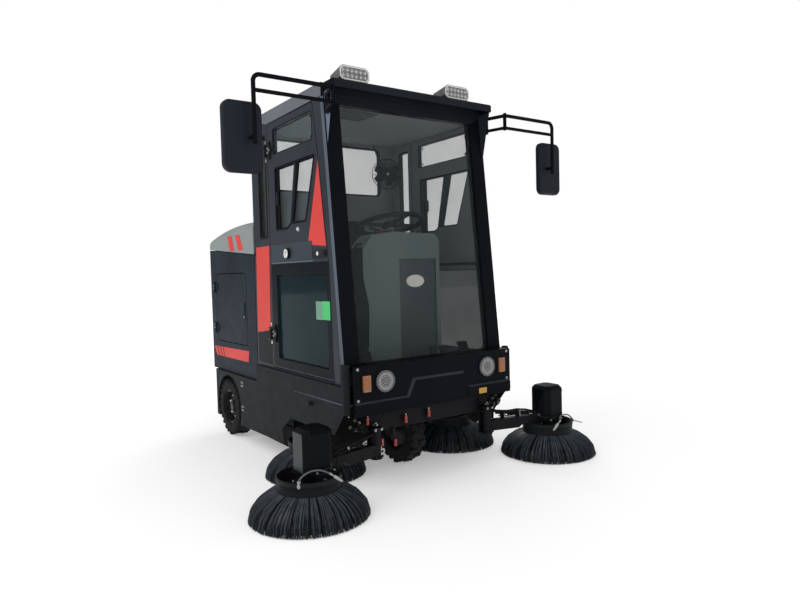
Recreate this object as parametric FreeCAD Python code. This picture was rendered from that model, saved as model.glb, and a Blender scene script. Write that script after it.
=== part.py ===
import FreeCAD, Part
import math
import os

V = FreeCAD.Vector

# All sizes are millimetres. X runs to the machine's left, Y to the rear, Z up.
# While the pieces are drawn Y is zero at the bumper's front, and the ground is Z zero.

# Side brushes
BRUSH_R = 275.0
DRUM_R = 146.0
DRUM_TOP = 190.0
DRUM_LOW = 128.0
BRISTLE_TIP = 2.0
BRUSH_SHAFT_R = 12.0
FRONT_BRUSH_X = 783.0
FRONT_BRUSH_Y = -30.0
INNER_BRUSH_X = 475.0
INNER_BRUSH_Y = 502.0

# Body widths, each from the middle plane
CAB_X = 530.7
SKIRT_X = 548.7
BUMPER_X = 518.1
GLASS_X = 430.0
VISOR_X = 513.0

# Wheels
REAR_WHEEL_Y = 1620.0
REAR_WHEEL_R = 195.0
REAR_TYRE_OUT = 552.0
TYRE_WIDTH = 112.0
REAR_TYRE_DEPTH = 83.0
FRONT_WHEEL_Y = 371.0
FRONT_WHEEL_R = 190.0
FRONT_TYRE_WIDTH = 92.0
FRONT_TYRE_DEPTH = 86.0
LUG_HEIGHT = 9.0
LUG_COUNT = 12
TREAD_FLATS = 3 * LUG_COUNT
KINGPIN_R = 20.0
REAR_SHAFT_R = 20.0
FRONT_SHAFT_R = 12.0

# The frame stands over the front wheel and its fork. Heights of the frame, cab and body
# are drawn with the rails' underside at DRAWN_RAIL_LOW, and lifted with the rails.
FORK_CLEARANCE = 8.0
CROWN_LOW = 2.0 * FRONT_WHEEL_R + FORK_CLEARANCE
RAIL_LOW = CROWN_LOW + 52.0
DRAWN_RAIL_LOW = 440.0
RISE = RAIL_LOW - DRAWN_RAIL_LOW

# Lengths and heights
TOW_Y = 1985.0
REAR_Y = 1957.0
CAB_REAR_Y = 1129.0
BODY_FRONT_Y = 1137.0
BUMPER_LOW = 389.6
BUMPER_TOP = 634.7
SKIRT_TOP = 535.0
RAIL_TOP = 523.0
FLOOR_Z = 530.0
SILL_LOW = 505.0
SILL_TOP = 543.0
ROOF_TOP = 2028.0
ROOF_SHEET = ROOF_TOP - 6.0
ROOF_LOW = ROOF_TOP - 66.0
DOOR_TOP = ROOF_LOW - 10.0
HEADER_LOW = ROOF_LOW - 34.0
HIGH_WINDOW = ROOF_LOW - 48.0
BACK_WINDOW = ROOF_LOW - 32.0
VISOR_LOW = ROOF_LOW + 23.0
VISOR_REACH = 102.9
BODY_LOW = 431.0
SHEET = 3.0
WALL = 28.0
GAP = 5.0
RUNNING = 0.1
SEAT = 0.3

# Frame
RAIL_IN = 215.0
RAIL_OUT = 265.0
PLATE_Y = 84.0
PLATE_LOW = 285.0

# Main roller
ROLLER_Y = 1120.0
ROLLER_Z = 165.0
ROLLER_R = 158.0
ROLLER_X = 360.0

# Arms
ARM_X = 372.0
ARM_Y = 45.0
PIN_R = 9.0
INNER_HINGE_Y = 800.0
INNER_HINGE_Z = 330.0
HOUSING_X = 767.0
HOUSING_Y = -44.0
HOUSING_SIDE = 148.0
HOUSING_TOP = 402.0

# Door and lid hinges
HINGE_PIN_R = 4.0
HOOD_HINGE_Y = 1967.0
HOOD_HINGE_Z = 1262.0
DOOR_HINGE_X = 543.7
DOOR_HINGE_Y = 888.0
DOOR_HINGE_Z = (743.0, 1801.0)
ACCESS_HINGE_X = 539.7
ACCESS_HINGE_Y = 1862.0
ACCESS_HINGE_Z = (726.0, 1011.0)
ACCESS = (1288.0, 1851.0, 637.0, 1100.0)

# Lamps and steering column
LAMP_X = 338.0
LAMP_Z = 550.0
LAMP_R = 53.0
COLUMN_TILT = 13.0
COLUMN_SHAFT_R = 10.0
STEERING_R = 192.0

# Cab side outline: the door's front edge from the sill up, as (y, z), and its rear edge
DOOR_LINE = [(166, 548), (184, 1080), (204, 1240), (266, 1660), (316, DOOR_TOP)]
DOOR_REAR = 882.0

Y_MIDDLE = (FRONT_BRUSH_Y - BRUSH_R + TOW_Y) / 2.0


def box(x0, x1, y0, y1, z0, z1):
    return Part.makeBox(x1 - x0, y1 - y0, z1 - z0, V(x0, y0, z0))


def side_prism(points, x0, x1):
    corners = [V(x0, y, z) for y, z in points]
    face = Part.Face(Part.makePolygon(corners + corners[:1]))
    return face.extrude(V(x1 - x0, 0, 0))


def front_prism(points, y0, y1):
    corners = [V(x, y0, z) for x, z in points]
    face = Part.Face(Part.makePolygon(corners + corners[:1]))
    return face.extrude(V(0, y1 - y0, 0))


def plan_prism(points, z0, z1):
    corners = [V(x, y, z0) for x, y in points]
    face = Part.Face(Part.makePolygon(corners + corners[:1]))
    return face.extrude(V(0, 0, z1 - z0))


def rod(start, end, radius):
    return Part.makeCylinder(radius, (end - start).Length, start, end - start)


def turned(profile, centre, axis):
    """Turns a list of (radius, height) pairs about an axis through the centre."""
    corners = [V(r, 0, h) for r, h in profile]
    face = Part.Face(Part.makePolygon(corners + corners[:1]))
    solid = face.revolve(V(0, 0, 0), V(0, 0, 1), 360)
    spin = FreeCAD.Rotation(V(0, 0, 1), axis)
    solid.Placement = FreeCAD.Placement(centre, spin)
    return solid


def bent_tube(points, radius, bend):
    """A round tube along straight runs joined by arcs of one bend radius."""
    edges = []
    start = points[0]
    for i in range(1, len(points) - 1):
        before = (points[i - 1] - points[i]).normalize()
        after = (points[i + 1] - points[i]).normalize()
        half = before.getAngle(after) / 2.0
        reach = bend / math.tan(half)
        first = points[i] + before * reach
        last = points[i] + after * reach
        middle = (before + after).normalize()
        centre = points[i] + middle * (bend / math.sin(half))
        crown = centre - middle * bend
        edges.append(Part.makeLine(start, first))
        edges.append(Part.Arc(first, crown, last).toShape())
        start = last
    edges.append(Part.makeLine(start, points[-1]))
    path = Part.Wire(edges)
    ring = Part.Wire(Part.makeCircle(radius, points[0], points[1] - points[0]))
    return path.makePipeShell([ring], True, False)


def mirrored(shape):
    return shape.mirror(V(0, 0, 0), V(1, 0, 0))


def both_sides(shape):
    return [shape, mirrored(shape)]


def fused(shapes):
    result = shapes[0]
    if len(shapes) > 1:
        result = result.fuse(shapes[1:])
    return result.removeSplitter()


def export(name, shape, rise=0.0):
    placed = shape.copy()
    placed.translate(V(0, -Y_MIDDLE, rise))
    placed.exportStep("parts/" + name + ".step")


def rounded_outline(x0, x1, z0, z1, radius, y):
    """A rounded rectangle standing across the machine, as a wire."""
    corners = [(x1 - radius, z1 - radius, 0), (x0 + radius, z1 - radius, 90),
               (x0 + radius, z0 + radius, 180), (x1 - radius, z0 + radius, 270)]
    arcs = []
    for x, z, turn in corners:
        points = []
        for angle in (turn, turn + 45, turn + 90):
            a = math.radians(angle)
            points.append(V(x + radius * math.cos(a), y, z + radius * math.sin(a)))
        arcs.append(points)
    edges = []
    for i in range(4):
        edges.append(Part.Arc(*arcs[i]).toShape())
        edges.append(Part.makeLine(arcs[i][2], arcs[(i + 1) % 4][0]))
    return Part.Wire(edges)


def edges_along(shape, direction, test):
    """Straight edges of a shape that run along a direction and pass a test on their middle point."""
    found = []
    for edge in shape.Edges:
        if len(edge.Vertexes) != 2:
            continue
        run = edge.Vertexes[1].Point - edge.Vertexes[0].Point
        if run.Length < 0.01 or run.normalize().cross(direction).Length > 0.01:
            continue
        middle = (edge.Vertexes[0].Point + edge.Vertexes[1].Point) * 0.5
        if test(middle):
            found.append(edge)
    return found


def rounded_hole(y0, y1, z0, z1, radius, x0, x1):
    """A block along X with rounded corners, used to cut windows and door openings."""
    block = box(x0, x1, y0, y1, z0, z1)
    return block.makeFillet(radius, edges_along(block, V(1, 0, 0), lambda m: True))


# Chassis


def frame_rails():
    rail = box(RAIL_IN, RAIL_OUT, PLATE_Y, REAR_Y - SHEET, DRAWN_RAIL_LOW, RAIL_TOP)
    return Part.Compound(both_sides(rail))


def frame_crossmembers():
    beam = side_prism([(PLATE_Y, PLATE_LOW), (PLATE_Y + 6, PLATE_LOW), (PLATE_Y + 6, 396), (PLATE_Y + 50, 396),
                       (PLATE_Y + 50, DRAWN_RAIL_LOW), (PLATE_Y, DRAWN_RAIL_LOW)], -430, 430)
    for side in (-1, 1):
        corner = [(side * 440, PLATE_LOW - 1), (side * 353, PLATE_LOW - 1), (side * 353, 320), (side * 440, 362)]
        beam = beam.cut(front_prism(corner, PLATE_Y - 10, PLATE_Y + 60))
    plate = box(-RAIL_IN, RAIL_IN, FRONT_WHEEL_Y - 60, FRONT_WHEEL_Y + 60, 462, RAIL_TOP)
    head = plate.fuse(rod(V(0, FRONT_WHEEL_Y, 408), V(0, FRONT_WHEEL_Y, 470), 42))
    head = head.cut(rod(V(0, FRONT_WHEEL_Y, 400), V(0, FRONT_WHEEL_Y, 476), KINGPIN_R + RUNNING))
    tail = box(-440, 440, REAR_Y - 60, REAR_Y - SHEET, 360, DRAWN_RAIL_LOW)
    tail = tail.fuse(box(-300, 300, REAR_Y - 10, TOW_Y, 372, 418))
    pieces = [beam, head, tail.removeSplitter()]
    for y in (300.0, 862.0):
        pieces += both_sides(box(RAIL_OUT, SKIRT_X - SHEET, y, y + 40, 460, SILL_LOW))
    outrigger = front_prism([(RAIL_IN, 398), (SKIRT_X - SHEET, 398), (SKIRT_X - SHEET, BODY_LOW), (520, BODY_LOW),
                             (520, DRAWN_RAIL_LOW), (RAIL_IN, DRAWN_RAIL_LOW)], 1370, 1410)
    return Part.Compound(pieces + both_sides(outrigger))


def arm_bracket():
    """Bracket of the left front arm, with its upright pin."""
    top = RAIL_LOW - 52
    back = box(ARM_X - 30, ARM_X + 30, PLATE_Y - 6, PLATE_Y, 160, top)
    ears = []
    for z in (160.0, 306.0):
        ear = box(ARM_X - 30, ARM_X + 30, ARM_Y - 28, PLATE_Y, z, z + 12)
        ears.append(ear.makeFillet(27, edges_along(ear, V(0, 0, 1), lambda m: m.y < ARM_Y)))
    pin = rod(V(ARM_X, ARM_Y, 155), V(ARM_X, ARM_Y, 325), PIN_R)
    return fused([back, pin] + ears)


def inner_bracket():
    """The left inner arm's two cheeks and hinge pin."""
    pieces = []
    for offset in (-46.0, 38.0):
        x = INNER_BRUSH_X + offset
        cheek = side_prism([(INNER_HINGE_Y - 22, INNER_HINGE_Z - 24), (INNER_HINGE_Y + 30, INNER_HINGE_Z - 24),
                            (INNER_HINGE_Y + 102, RAIL_LOW - 40), (INNER_HINGE_Y + 102, RAIL_LOW + 20),
                            (INNER_HINGE_Y + 62, RAIL_LOW + 20), (INNER_HINGE_Y - 22, INNER_HINGE_Z + 30)], x, x + 8)
        pieces.append(cheek)
    x = INNER_BRUSH_X
    pieces.append(rod(V(x - 50, INNER_HINGE_Y, INNER_HINGE_Z), V(x + 50, INNER_HINGE_Y, INNER_HINGE_Z), PIN_R))
    return pieces[0].fuse(pieces[1:])


def brush_brackets():
    return Part.Compound(both_sides(arm_bracket()) + both_sides(inner_bracket()))


def side_skirts():
    outline = [
        (45, SKIRT_TOP), (CAB_REAR_Y, SKIRT_TOP), (CAB_REAR_Y, BODY_LOW - 1), (1869, BODY_LOW - 1), (1869, 105),
        (1440, 100), (1066, 110), (742, 120), (766, 203), (647, 283), (470, 286), (148, 287), (52, 400), (45, 400),
    ]
    panel = side_prism(outline, SKIRT_X - SHEET, SKIRT_X)
    arch_z = REAR_WHEEL_R - RISE
    arch = rod(V(SKIRT_X - 20, REAR_WHEEL_Y, arch_z), V(SKIRT_X + 20, REAR_WHEEL_Y, arch_z), REAR_WHEEL_R + 22)
    panel = panel.cut(arch)
    ledge = box(CAB_X + 0.5, SKIRT_X, 72, CAB_REAR_Y, SKIRT_TOP - SHEET, SKIRT_TOP)
    column = box(BUMPER_X + 2, SKIRT_X, 32, 72, 400, BUMPER_TOP + 8)
    outer = edges_along(column, V(0, 0, 1), lambda m: m.x > SKIRT_X - 1 and m.y < 40)
    column = column.makeFillet(22, outer)
    column = column.cut(box(BUMPER_X + 6, SKIRT_X - SHEET, 58, 90, 390, BUMPER_TOP - 4))
    left = fused([panel, ledge, column])
    return Part.Compound(both_sides(left))


def pressing(outlines):
    """A field raised from the front plate, its second outline being the face and its first the root."""
    wires = []
    for outline, y in zip(outlines, (5, -5)):
        corners = [V(x, y, z) for x, z in outline]
        wires.append(Part.makePolygon(corners + corners[:1]))
    return Part.makeLoft(wires, True, True)


def front_bumper():
    """Front plate with top and low flanges and two raised pressings, the wide one stepped up in the middle."""
    back = front_prism([(-BUMPER_X, BUMPER_LOW), (BUMPER_X, BUMPER_LOW), (BUMPER_X, BUMPER_TOP),
                        (-BUMPER_X, BUMPER_TOP)], 4, 8)
    end = BUMPER_X - 6
    wide = [[(-end, 404), (-end, 461), (-206, 461), (-168, 546), (176, 546), (181, 412), (-160, 412), (-172, 404)],
            [(-end, 407), (-end, 452), (-196, 452), (-156, 533), (164, 533), (172, 415), (-161, 415), (-173, 407)]]
    short = [[(end, 404), (end, 461), (196, 461), (196, 404)], [(end, 407), (end, 452), (206, 452), (206, 407)]]
    top = box(-BUMPER_X, BUMPER_X, 4, front_y(BUMPER_TOP) - 0.5, BUMPER_TOP - SHEET, BUMPER_TOP)
    low = box(-BUMPER_X, BUMPER_X, 4, PLATE_Y, BUMPER_LOW, BUMPER_LOW + SHEET)
    plate = fused([back, pressing(wide), pressing(short), top, low])
    for side in (-1, 1):
        plate = plate.cut(rod(V(side * LAMP_X, -20, LAMP_Z), V(side * LAMP_X, 40, LAMP_Z), LAMP_R - 4))
    return plate


def headlights():
    profile = [(0, -26), (44, -26), (48, -2), (LAMP_R, -2), (LAMP_R - 2, 11), (LAMP_R - 7, 11), (LAMP_R - 8, 7),
               (0, 9)]
    right = turned(profile, V(-LAMP_X, 1.5, LAMP_Z), V(0, -1, 0))
    return Part.Compound([right, mirrored(right)])


def marker_lamps():
    lamp = box(425, 468, -10, 3.5, 509, 589)
    lamp = lamp.makeFillet(4, edges_along(lamp, V(0, 1, 0), lambda m: True))
    return Part.Compound(both_sides(lamp))


# Cab


def front_y(z):
    """Distance to the rear of the windscreen frame's front face at a height."""
    return 83.0 + (z - 634.7) * 0.0990


def door_gap_line():
    """The frame's edge along the door's front edge, a gap ahead of it."""
    return [(y - GAP, z) for y, z in DOOR_LINE]


def cab_front_frame():
    """Two leaning pillars with the visor's end gussets, the header and the bar under the windscreen."""
    line = door_gap_line()
    foot = front_y(SKIRT_TOP)
    front = [(foot, SILL_LOW), (foot, SKIRT_TOP), (front_y(ROOF_LOW), ROOF_LOW), (line[-1][0], ROOF_LOW)]
    cheek = side_prism(front + line[::-1] + [(line[0][0], SILL_LOW)], CAB_X - WALL, CAB_X)
    post = leaning_bar(BUMPER_TOP, ROOF_LOW, 46, GLASS_X, CAB_X)
    pillar = fused([cheek, post])
    lean = V(0, 0.0990, 1).normalize()
    corner = edges_along(pillar, lean, lambda m: m.x > CAB_X - 1 and m.y < front_y(m.z) + 5)
    pillar = pillar.makeChamfer(11, corner)
    kink = ROOF_LOW - 240
    top = VISOR_LOW - 0.5
    gusset = side_prism([(front_y(kink), kink), (front_y(ROOF_LOW) - 88.4, top), (front_y(ROOF_LOW), top),
                         (front_y(ROOF_LOW), ROOF_LOW), (front_y(kink) + 20, kink)], VISOR_X - 6, VISOR_X)
    left = fused([pillar, gusset])
    header = leaning_bar(HEADER_LOW, ROOF_LOW, 46, -GLASS_X, GLASS_X)
    bar = leaning_bar(600, BUMPER_TOP, 34, -CAB_X + WALL, CAB_X - WALL)
    return fused([left, mirrored(left), header, bar])


def leaning_bar(z0, z1, depth, x0, x1):
    """A bar across or up the windscreen frame, its face on the leaning front plane."""
    return side_prism([(front_y(z0), z0), (front_y(z1), z1), (front_y(z1) + depth, z1), (front_y(z0) + depth, z0)],
                      x0, x1)


def cab_sides():
    """Sill, rear post with its narrow window and roof rail of each side, with the door's hinge pins."""
    start = door_gap_line()
    sill = box(CAB_X - WALL, CAB_X, start[0][0], CAB_REAR_Y, SILL_LOW, SILL_TOP)
    post = box(CAB_X - WALL, CAB_X, DOOR_REAR + GAP, CAB_REAR_Y, SILL_TOP, ROOF_LOW)
    post = post.cut(rounded_hole(914, 1027, 1303, ROOF_LOW - 62, 14, CAB_X - 40, CAB_X + 10))
    top = start[-1][0]
    rail = side_prism([(240, ROOF_LOW), (240, ROOF_SHEET), (CAB_REAR_Y, ROOF_SHEET), (CAB_REAR_Y, DOOR_TOP + GAP),
                       (top, DOOR_TOP + GAP), (top, ROOF_LOW)], CAB_X - WALL, CAB_X)
    pieces = [sill, post, rail]
    y = DOOR_HINGE_Y
    out = DOOR_HINGE_X + 8
    for z in DOOR_HINGE_Z:
        pieces.append(upright_pin(DOOR_HINGE_X, y, z, 32))
        for end in (z - 38, z + 32):
            pieces.append(plan_prism([(CAB_X - 1, y + 3), (CAB_X - 1, y + 24), (out, y + 24), (out, y - 8),
                                      (CAB_X + 6, y - 8), (CAB_X + 6, y + 3)], end, end + 6))
    return Part.Compound(both_sides(fused(pieces)))


def cab_rear_wall():
    half = CAB_X - WALL - SEAT
    wall = box(-half, half, CAB_REAR_Y - 22, CAB_REAR_Y, RAIL_TOP, ROOF_SHEET)
    window = box(-393, 393, CAB_REAR_Y - 40, CAB_REAR_Y + 10, BACK_WINDOW - 319, BACK_WINDOW)
    window = window.makeFillet(30, edges_along(window, V(0, 1, 0), lambda m: True))
    return wall.cut(window)


def cab_floor():
    """Floor plate with the toe board and two pedals."""
    half = CAB_X - WALL - SEAT
    plate = box(-half, half, 112, CAB_REAR_Y - 22 - SEAT, RAIL_TOP, FLOOR_Z)
    toe = box(-half, half, 112, 116, FLOOR_Z - 1, 600 - SEAT)
    pieces = [plate, toe]
    for x in (150.0, 215.0):
        pieces.append(box(x - 10, x + 10, 198, 210, FLOOR_Z - 1, FLOOR_Z + 40))
        pieces.append(side_prism([(196, 560), (240, 660), (246, 657), (202, 557)], x - 24, x + 24))
    return fused(pieces)


def cab_headliner():
    half = CAB_X - WALL - SEAT
    return box(-half, half, 261, CAB_REAR_Y - 22 - SEAT, ROOF_LOW - 14, ROOF_LOW - 8)


def roof_panel():
    """Top sheet over the rails, with the hollow visor ahead of it."""
    front = front_y(ROOF_LOW)
    sheet = box(-CAB_X, CAB_X, front + 2.6, CAB_REAR_Y, ROOF_SHEET + SEAT, ROOF_TOP)
    sheet = sheet.makeFillet(22, edges_along(sheet, V(0, 0, 1), lambda m: m.y > 1000))
    band = box(-CAB_X, CAB_X, front + 2.6, 240 - SEAT, ROOF_LOW + SEAT, ROOF_TOP)
    lip, heel = front - VISOR_REACH, front + 5.6
    visor = side_prism([(lip, VISOR_LOW), (lip, ROOF_TOP - 9), (lip + 7.5, ROOF_TOP - 1), (heel, ROOF_TOP),
                        (heel, VISOR_LOW)], -VISOR_X, VISOR_X)
    visor = visor.cut(box(-VISOR_X + 6, VISOR_X - 6, lip + 6.5, front - 3.4, VISOR_LOW - 5, ROOF_TOP - 8))
    return fused([sheet, band, visor])


def cab_glass():
    """Windscreen, rear window and the narrow window of each rear post."""
    low, high = BUMPER_TOP + SEAT, HEADER_LOW - SEAT
    start = front_y(low) + 12
    end = front_y(high) + 12
    half = GLASS_X - SEAT
    screen = side_prism([(start, low), (end, high), (end + 6, high), (start + 6, low)], -half, half)
    back = box(-392.5, 392.5, CAB_REAR_Y - 14, CAB_REAR_Y - 8, BACK_WINDOW - 318.5, BACK_WINDOW - 0.5)
    back = back.makeFillet(29.5, edges_along(back, V(0, 1, 0), lambda m: True))
    side = rounded_hole(914.5, 1026.5, 1303.5, ROOF_LOW - 62.5, 13.5, CAB_X - 16, CAB_X - 10)
    return Part.Compound([screen, back] + both_sides(side))


def dash_console():
    outline = [(-262, FLOOR_Z + 0.5), (-236, 700), (-228, 900), (-262, 1060), (-262, 1215), (-200, 1285), (-60, 1307),
               (225, 1300), (258, 1270), (262, FLOOR_Z + 0.5)]
    body = front_prism(outline, 300, 430)
    crown = [e for e in body.Edges if len(e.Vertexes) == 2 and abs(e.Length - 130) < 0.1 and e.CenterOfMass.z > 1180]
    body = body.makeFillet(24, crown)
    body = body.cut(box(-25, 231, 290, 308, FLOOR_Z + 40, 1158))
    column = rod(on_column(-180), on_column(-22), 24)
    shaft = rod(on_column(-60), on_column(4), COLUMN_SHAFT_R)
    return fused([body, column, shaft])


def on_column(distance):
    """A point on the steering column's axis, measured from the wheel's middle."""
    tilt = math.radians(COLUMN_TILT)
    return V(0, 424 + distance * math.sin(tilt), 1356 + distance * math.cos(tilt))


def steering_wheel():
    """Rim of eight-sided section, hub and three spokes, bored for the column."""
    section = []
    for i in range(8):
        angle = math.radians(22.5 + 45.0 * i)
        section.append((STEERING_R + 14 * math.cos(angle), 14 * math.sin(angle)))
    ring = turned(section, V(0, 0, 0), V(0, 0, 1))
    hub = Part.makeCylinder(40, 30, V(0, 0, -18))
    spokes = [box(-185, 185, -12, 12, -9, 3), box(-12, 12, -185, 0, -9, 3)]
    wheel = fused([ring, hub] + spokes)
    wheel = wheel.cut(Part.makeCylinder(COLUMN_SHAFT_R + RUNNING, 26, V(0, 0, -20)))
    wheel.Placement = FreeCAD.Placement(on_column(0), FreeCAD.Rotation(V(1, 0, 0), -COLUMN_TILT))
    return wheel


def seat_base():
    base = box(-215, 215, 620, 1040, FLOOR_Z + 0.5, 835)
    base = base.makeFillet(15, edges_along(base, V(0, 0, 1), lambda m: True))
    stay = side_prism([(1036, 800), (seat_back_y(925) + 0.4, 925), (seat_back_y(1300), 1300),
                       (seat_back_y(1300) + 8, 1300), (seat_back_y(925) + 8, 925), (1048, 800)], -90, 90)
    return fused([base, stay])


def seat_back_y(z):
    """The front of the seat back's carrier, just clear of the padding."""
    return 1050.3 + (z - 931.0) * 32.0 / 499.0


def seat_cushions():
    cushion = box(-225, 225, 575, 1000, 835.3, 930)
    cushion = cushion.makeFillet(28, [e for e in cushion.Edges if e.CenterOfMass.z > 840])
    back = side_prism([(962, 931), (1012, 1430), (1082, 1430), (1050, 931)], -215, 215)
    back = back.makeFillet(26, [e for e in back.Edges if e.CenterOfMass.z > 940 and e.CenterOfMass.y < 1060])
    return Part.Compound([cushion, back])


def mirror_arms():
    y = 47.0
    high, second = ROOF_LOW - 5, ROOF_LOW - 74
    root = box(VISOR_X, VISOR_X + 12, 150, 188, ROOF_LOW - 94, ROOF_LOW + 6)
    top = bent_tube([V(VISOR_X + 11, 172, high), V(560, y, high), V(950, y, high), V(950, y, 1655)], 10, 32)
    low = rod(V(555, y + 2, second), V(950, y, second), 9)
    link = rod(V(VISOR_X + 10, 172, second), V(558, y, second), 9)
    stay = rod(V(950, y, 1690), V(950, 92, 1690), 9)
    plate = box(552, 562, y - 8, y + 10, second - 14, high + 14)
    return Part.Compound(both_sides(fused([top, low, root, link, stay, plate])))


def mirror_heads():
    head = box(892, 1074, 92, 128, 1536, 1850)
    head = head.makeFillet(38, edges_along(head, V(0, 1, 0), lambda m: True))
    head = head.makeFillet(14, [e for e in head.Edges if all(v.Point.y < 93 for v in e.Vertexes)])
    dish = box(900, 1066, 124, 130, 1544, 1842)
    dish = dish.makeFillet(32, edges_along(dish, V(0, 1, 0), lambda m: True))
    return Part.Compound(both_sides(head.cut(dish)))


def mirror_faces():
    face = box(902, 1064, 124, 127, 1546, 1840)
    face = face.makeFillet(30, edges_along(face, V(0, 1, 0), lambda m: True))
    return Part.Compound(both_sides(face))


def roof_lamps():
    """Lamp pods that taper to the rear, each with a sunk face and a foot on the roof."""
    low, high = ROOF_TOP + 26, ROOF_TOP + 102
    front = rounded_outline(250, 428, low, high, 28, 205)
    rear = rounded_outline(272, 406, low + 8, high - 10, 20, 338)
    pod = Part.makeLoft([front, rear], True, True)
    lens = Part.Face(rounded_outline(257, 421, low + 7, high - 7, 21, 203)).extrude(V(0, 5, 0))
    foot = box(318, 360, 235, 275, ROOF_TOP, ROOF_TOP + 34)
    return Part.Compound(both_sides(fused([pod.cut(lens), foot])))


# Rear body


def seam_z(y):
    """Height of the joint line between the rear body and its lid."""
    return 1215.0 + (y - CAB_REAR_Y) * 0.0768


def upright_pin(x, y, z, half):
    return rod(V(x, y, z - half - 5), V(x, y, z + half + 5), HINGE_PIN_R)


def rear_body_sides():
    """Side sheets with the access doorways, and the doors' hinge pins."""
    outline = [(BODY_FRONT_Y, BODY_LOW), (REAR_Y, BODY_LOW), (REAR_Y, seam_z(REAR_Y) - GAP),
               (BODY_FRONT_Y, seam_z(BODY_FRONT_Y) - GAP)]
    sheet = side_prism(outline, CAB_X - SHEET, CAB_X)
    y0, y1, z0, z1 = ACCESS
    sheet = sheet.cut(rounded_hole(y0 - GAP, y1 + GAP, z0 - GAP, z1 + GAP, 45, CAB_X - 10, CAB_X + 10))
    pieces = [sheet]
    for z in ACCESS_HINGE_Z:
        pieces.append(upright_pin(ACCESS_HINGE_X, ACCESS_HINGE_Y, z, 30))
        for end in (z - 36, z + 31):
            pieces.append(box(CAB_X - 1, ACCESS_HINGE_X + 6, ACCESS_HINGE_Y - 5, ACCESS_HINGE_Y + 20, end, end + 5))
    return Part.Compound(both_sides(fused(pieces)))


def rear_body_ends():
    """Front sheet over the rails, and the rear sheet with the lid's hinge ears and pins."""
    half = CAB_X - SHEET
    front = box(-half, half, BODY_FRONT_Y, BODY_FRONT_Y + SHEET, RAIL_TOP, seam_z(BODY_FRONT_Y) - GAP)
    pieces = [box(-half, half, REAR_Y - SHEET, REAR_Y, BODY_LOW, seam_z(REAR_Y) - GAP)]
    y, z = HOOD_HINGE_Y, HOOD_HINGE_Z
    for x in (-300.0, 300.0):
        for offset in (-46.0, 41.0):
            pieces.append(box(x + offset, x + offset + 5, REAR_Y - 1, y + 7, z - 9, z + 7))
        pieces.append(rod(V(x - 46, y, z), V(x + 46, y, z), HINGE_PIN_R))
    return Part.Compound([front, fused(pieces)])


def rear_body_floor():
    half = CAB_X - SHEET - SEAT
    return box(-half, half, BODY_FRONT_Y + SHEET + SEAT, REAR_Y - SHEET - SEAT, RAIL_TOP + SEAT, FLOOR_Z)


def battery_pack():
    return box(-400, 400, 1180, 1520, FLOOR_Z + 0.5, FLOOR_Z + 300)


def rear_lamps():
    lamp = box(400, 500, REAR_Y + 0.5, REAR_Y + 14, 700, 760)
    return Part.Compound(both_sides(lamp))


def hood_block(inset):
    """The lid's outer form, or its inner one when set in by the sheet, with rounded top edges."""
    start = BODY_FRONT_Y + 4 + inset
    end = REAR_Y - 2 - inset
    half = CAB_X - inset
    crown = Part.Arc(V(-half, start, 1418 - inset), V(-half, 1600, 1404 - inset), V(-half, end, 1350 - inset))
    low = [seam_z(end), seam_z(start)] if inset == 0 else [1100, 1100]
    first, last = V(-half, start, 1418 - inset), V(-half, end, 1350 - inset)
    corners = [last, V(-half, end, low[0]), V(-half, start, low[1]), first]
    sides = [Part.makeLine(corners[i], corners[i + 1]) for i in range(3)]
    block = Part.Face(Part.Wire([crown.toShape()] + sides)).extrude(V(2 * half, 0, 0))
    top = []
    for edge in block.Edges:
        middle = edge.CenterOfMass
        if middle.z > 1330 and (middle.y > end - 1 or abs(middle.x) > half - 1):
            top.append(edge)
    return block.makeFillet(45 - inset, top)


def rear_hood():
    lid = hood_block(0).cut(hood_block(SHEET))
    y, z = HOOD_HINGE_Y, HOOD_HINGE_Z
    for x in (-300.0, 300.0):
        lid = lid.fuse(rod(V(x - 40, y, z), V(x + 40, y, z), 8))
        lid = lid.fuse(box(x - 40, x + 40, REAR_Y - 5, y, z + 26, z + 34))
        lid = lid.fuse(box(x - 40, x + 40, y - 4, y + 4, z, z + 34))
        lid = lid.cut(rod(V(x - 50, y, z), V(x + 50, y, z), HINGE_PIN_R + RUNNING))
    return lid.removeSplitter()


def access_door():
    y0, y1, z0, z1 = ACCESS
    door = rounded_hole(y0, y1, z0, z1, 40, CAB_X - 22, CAB_X)
    tub = rounded_hole(y0 + 12, y1 - 12, z0 + 12, z1 - 12, 30, CAB_X - 30, CAB_X - SHEET)
    door = door.cut(tub)
    for z in ACCESS_HINGE_Z:
        x = ACCESS_HINGE_X
        door = door.fuse(rod(V(x, ACCESS_HINGE_Y, z - 30), V(x, ACCESS_HINGE_Y, z + 30), 7))
        leaf = plan_prism([(CAB_X - 1, y1 - 30), (CAB_X + 5, y1 - 30), (CAB_X + 5, ACCESS_HINGE_Y),
                           (CAB_X + 1.5, ACCESS_HINGE_Y), (CAB_X + 1.5, y1 - 2), (CAB_X - 1, y1 - 2)], z - 20, z + 20)
        door = door.fuse(leaf)
        door = door.cut(rod(V(x, ACCESS_HINGE_Y, z - 35), V(x, ACCESS_HINGE_Y, z + 35), HINGE_PIN_R + RUNNING))
    return door.removeSplitter()


# Running gear


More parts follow.
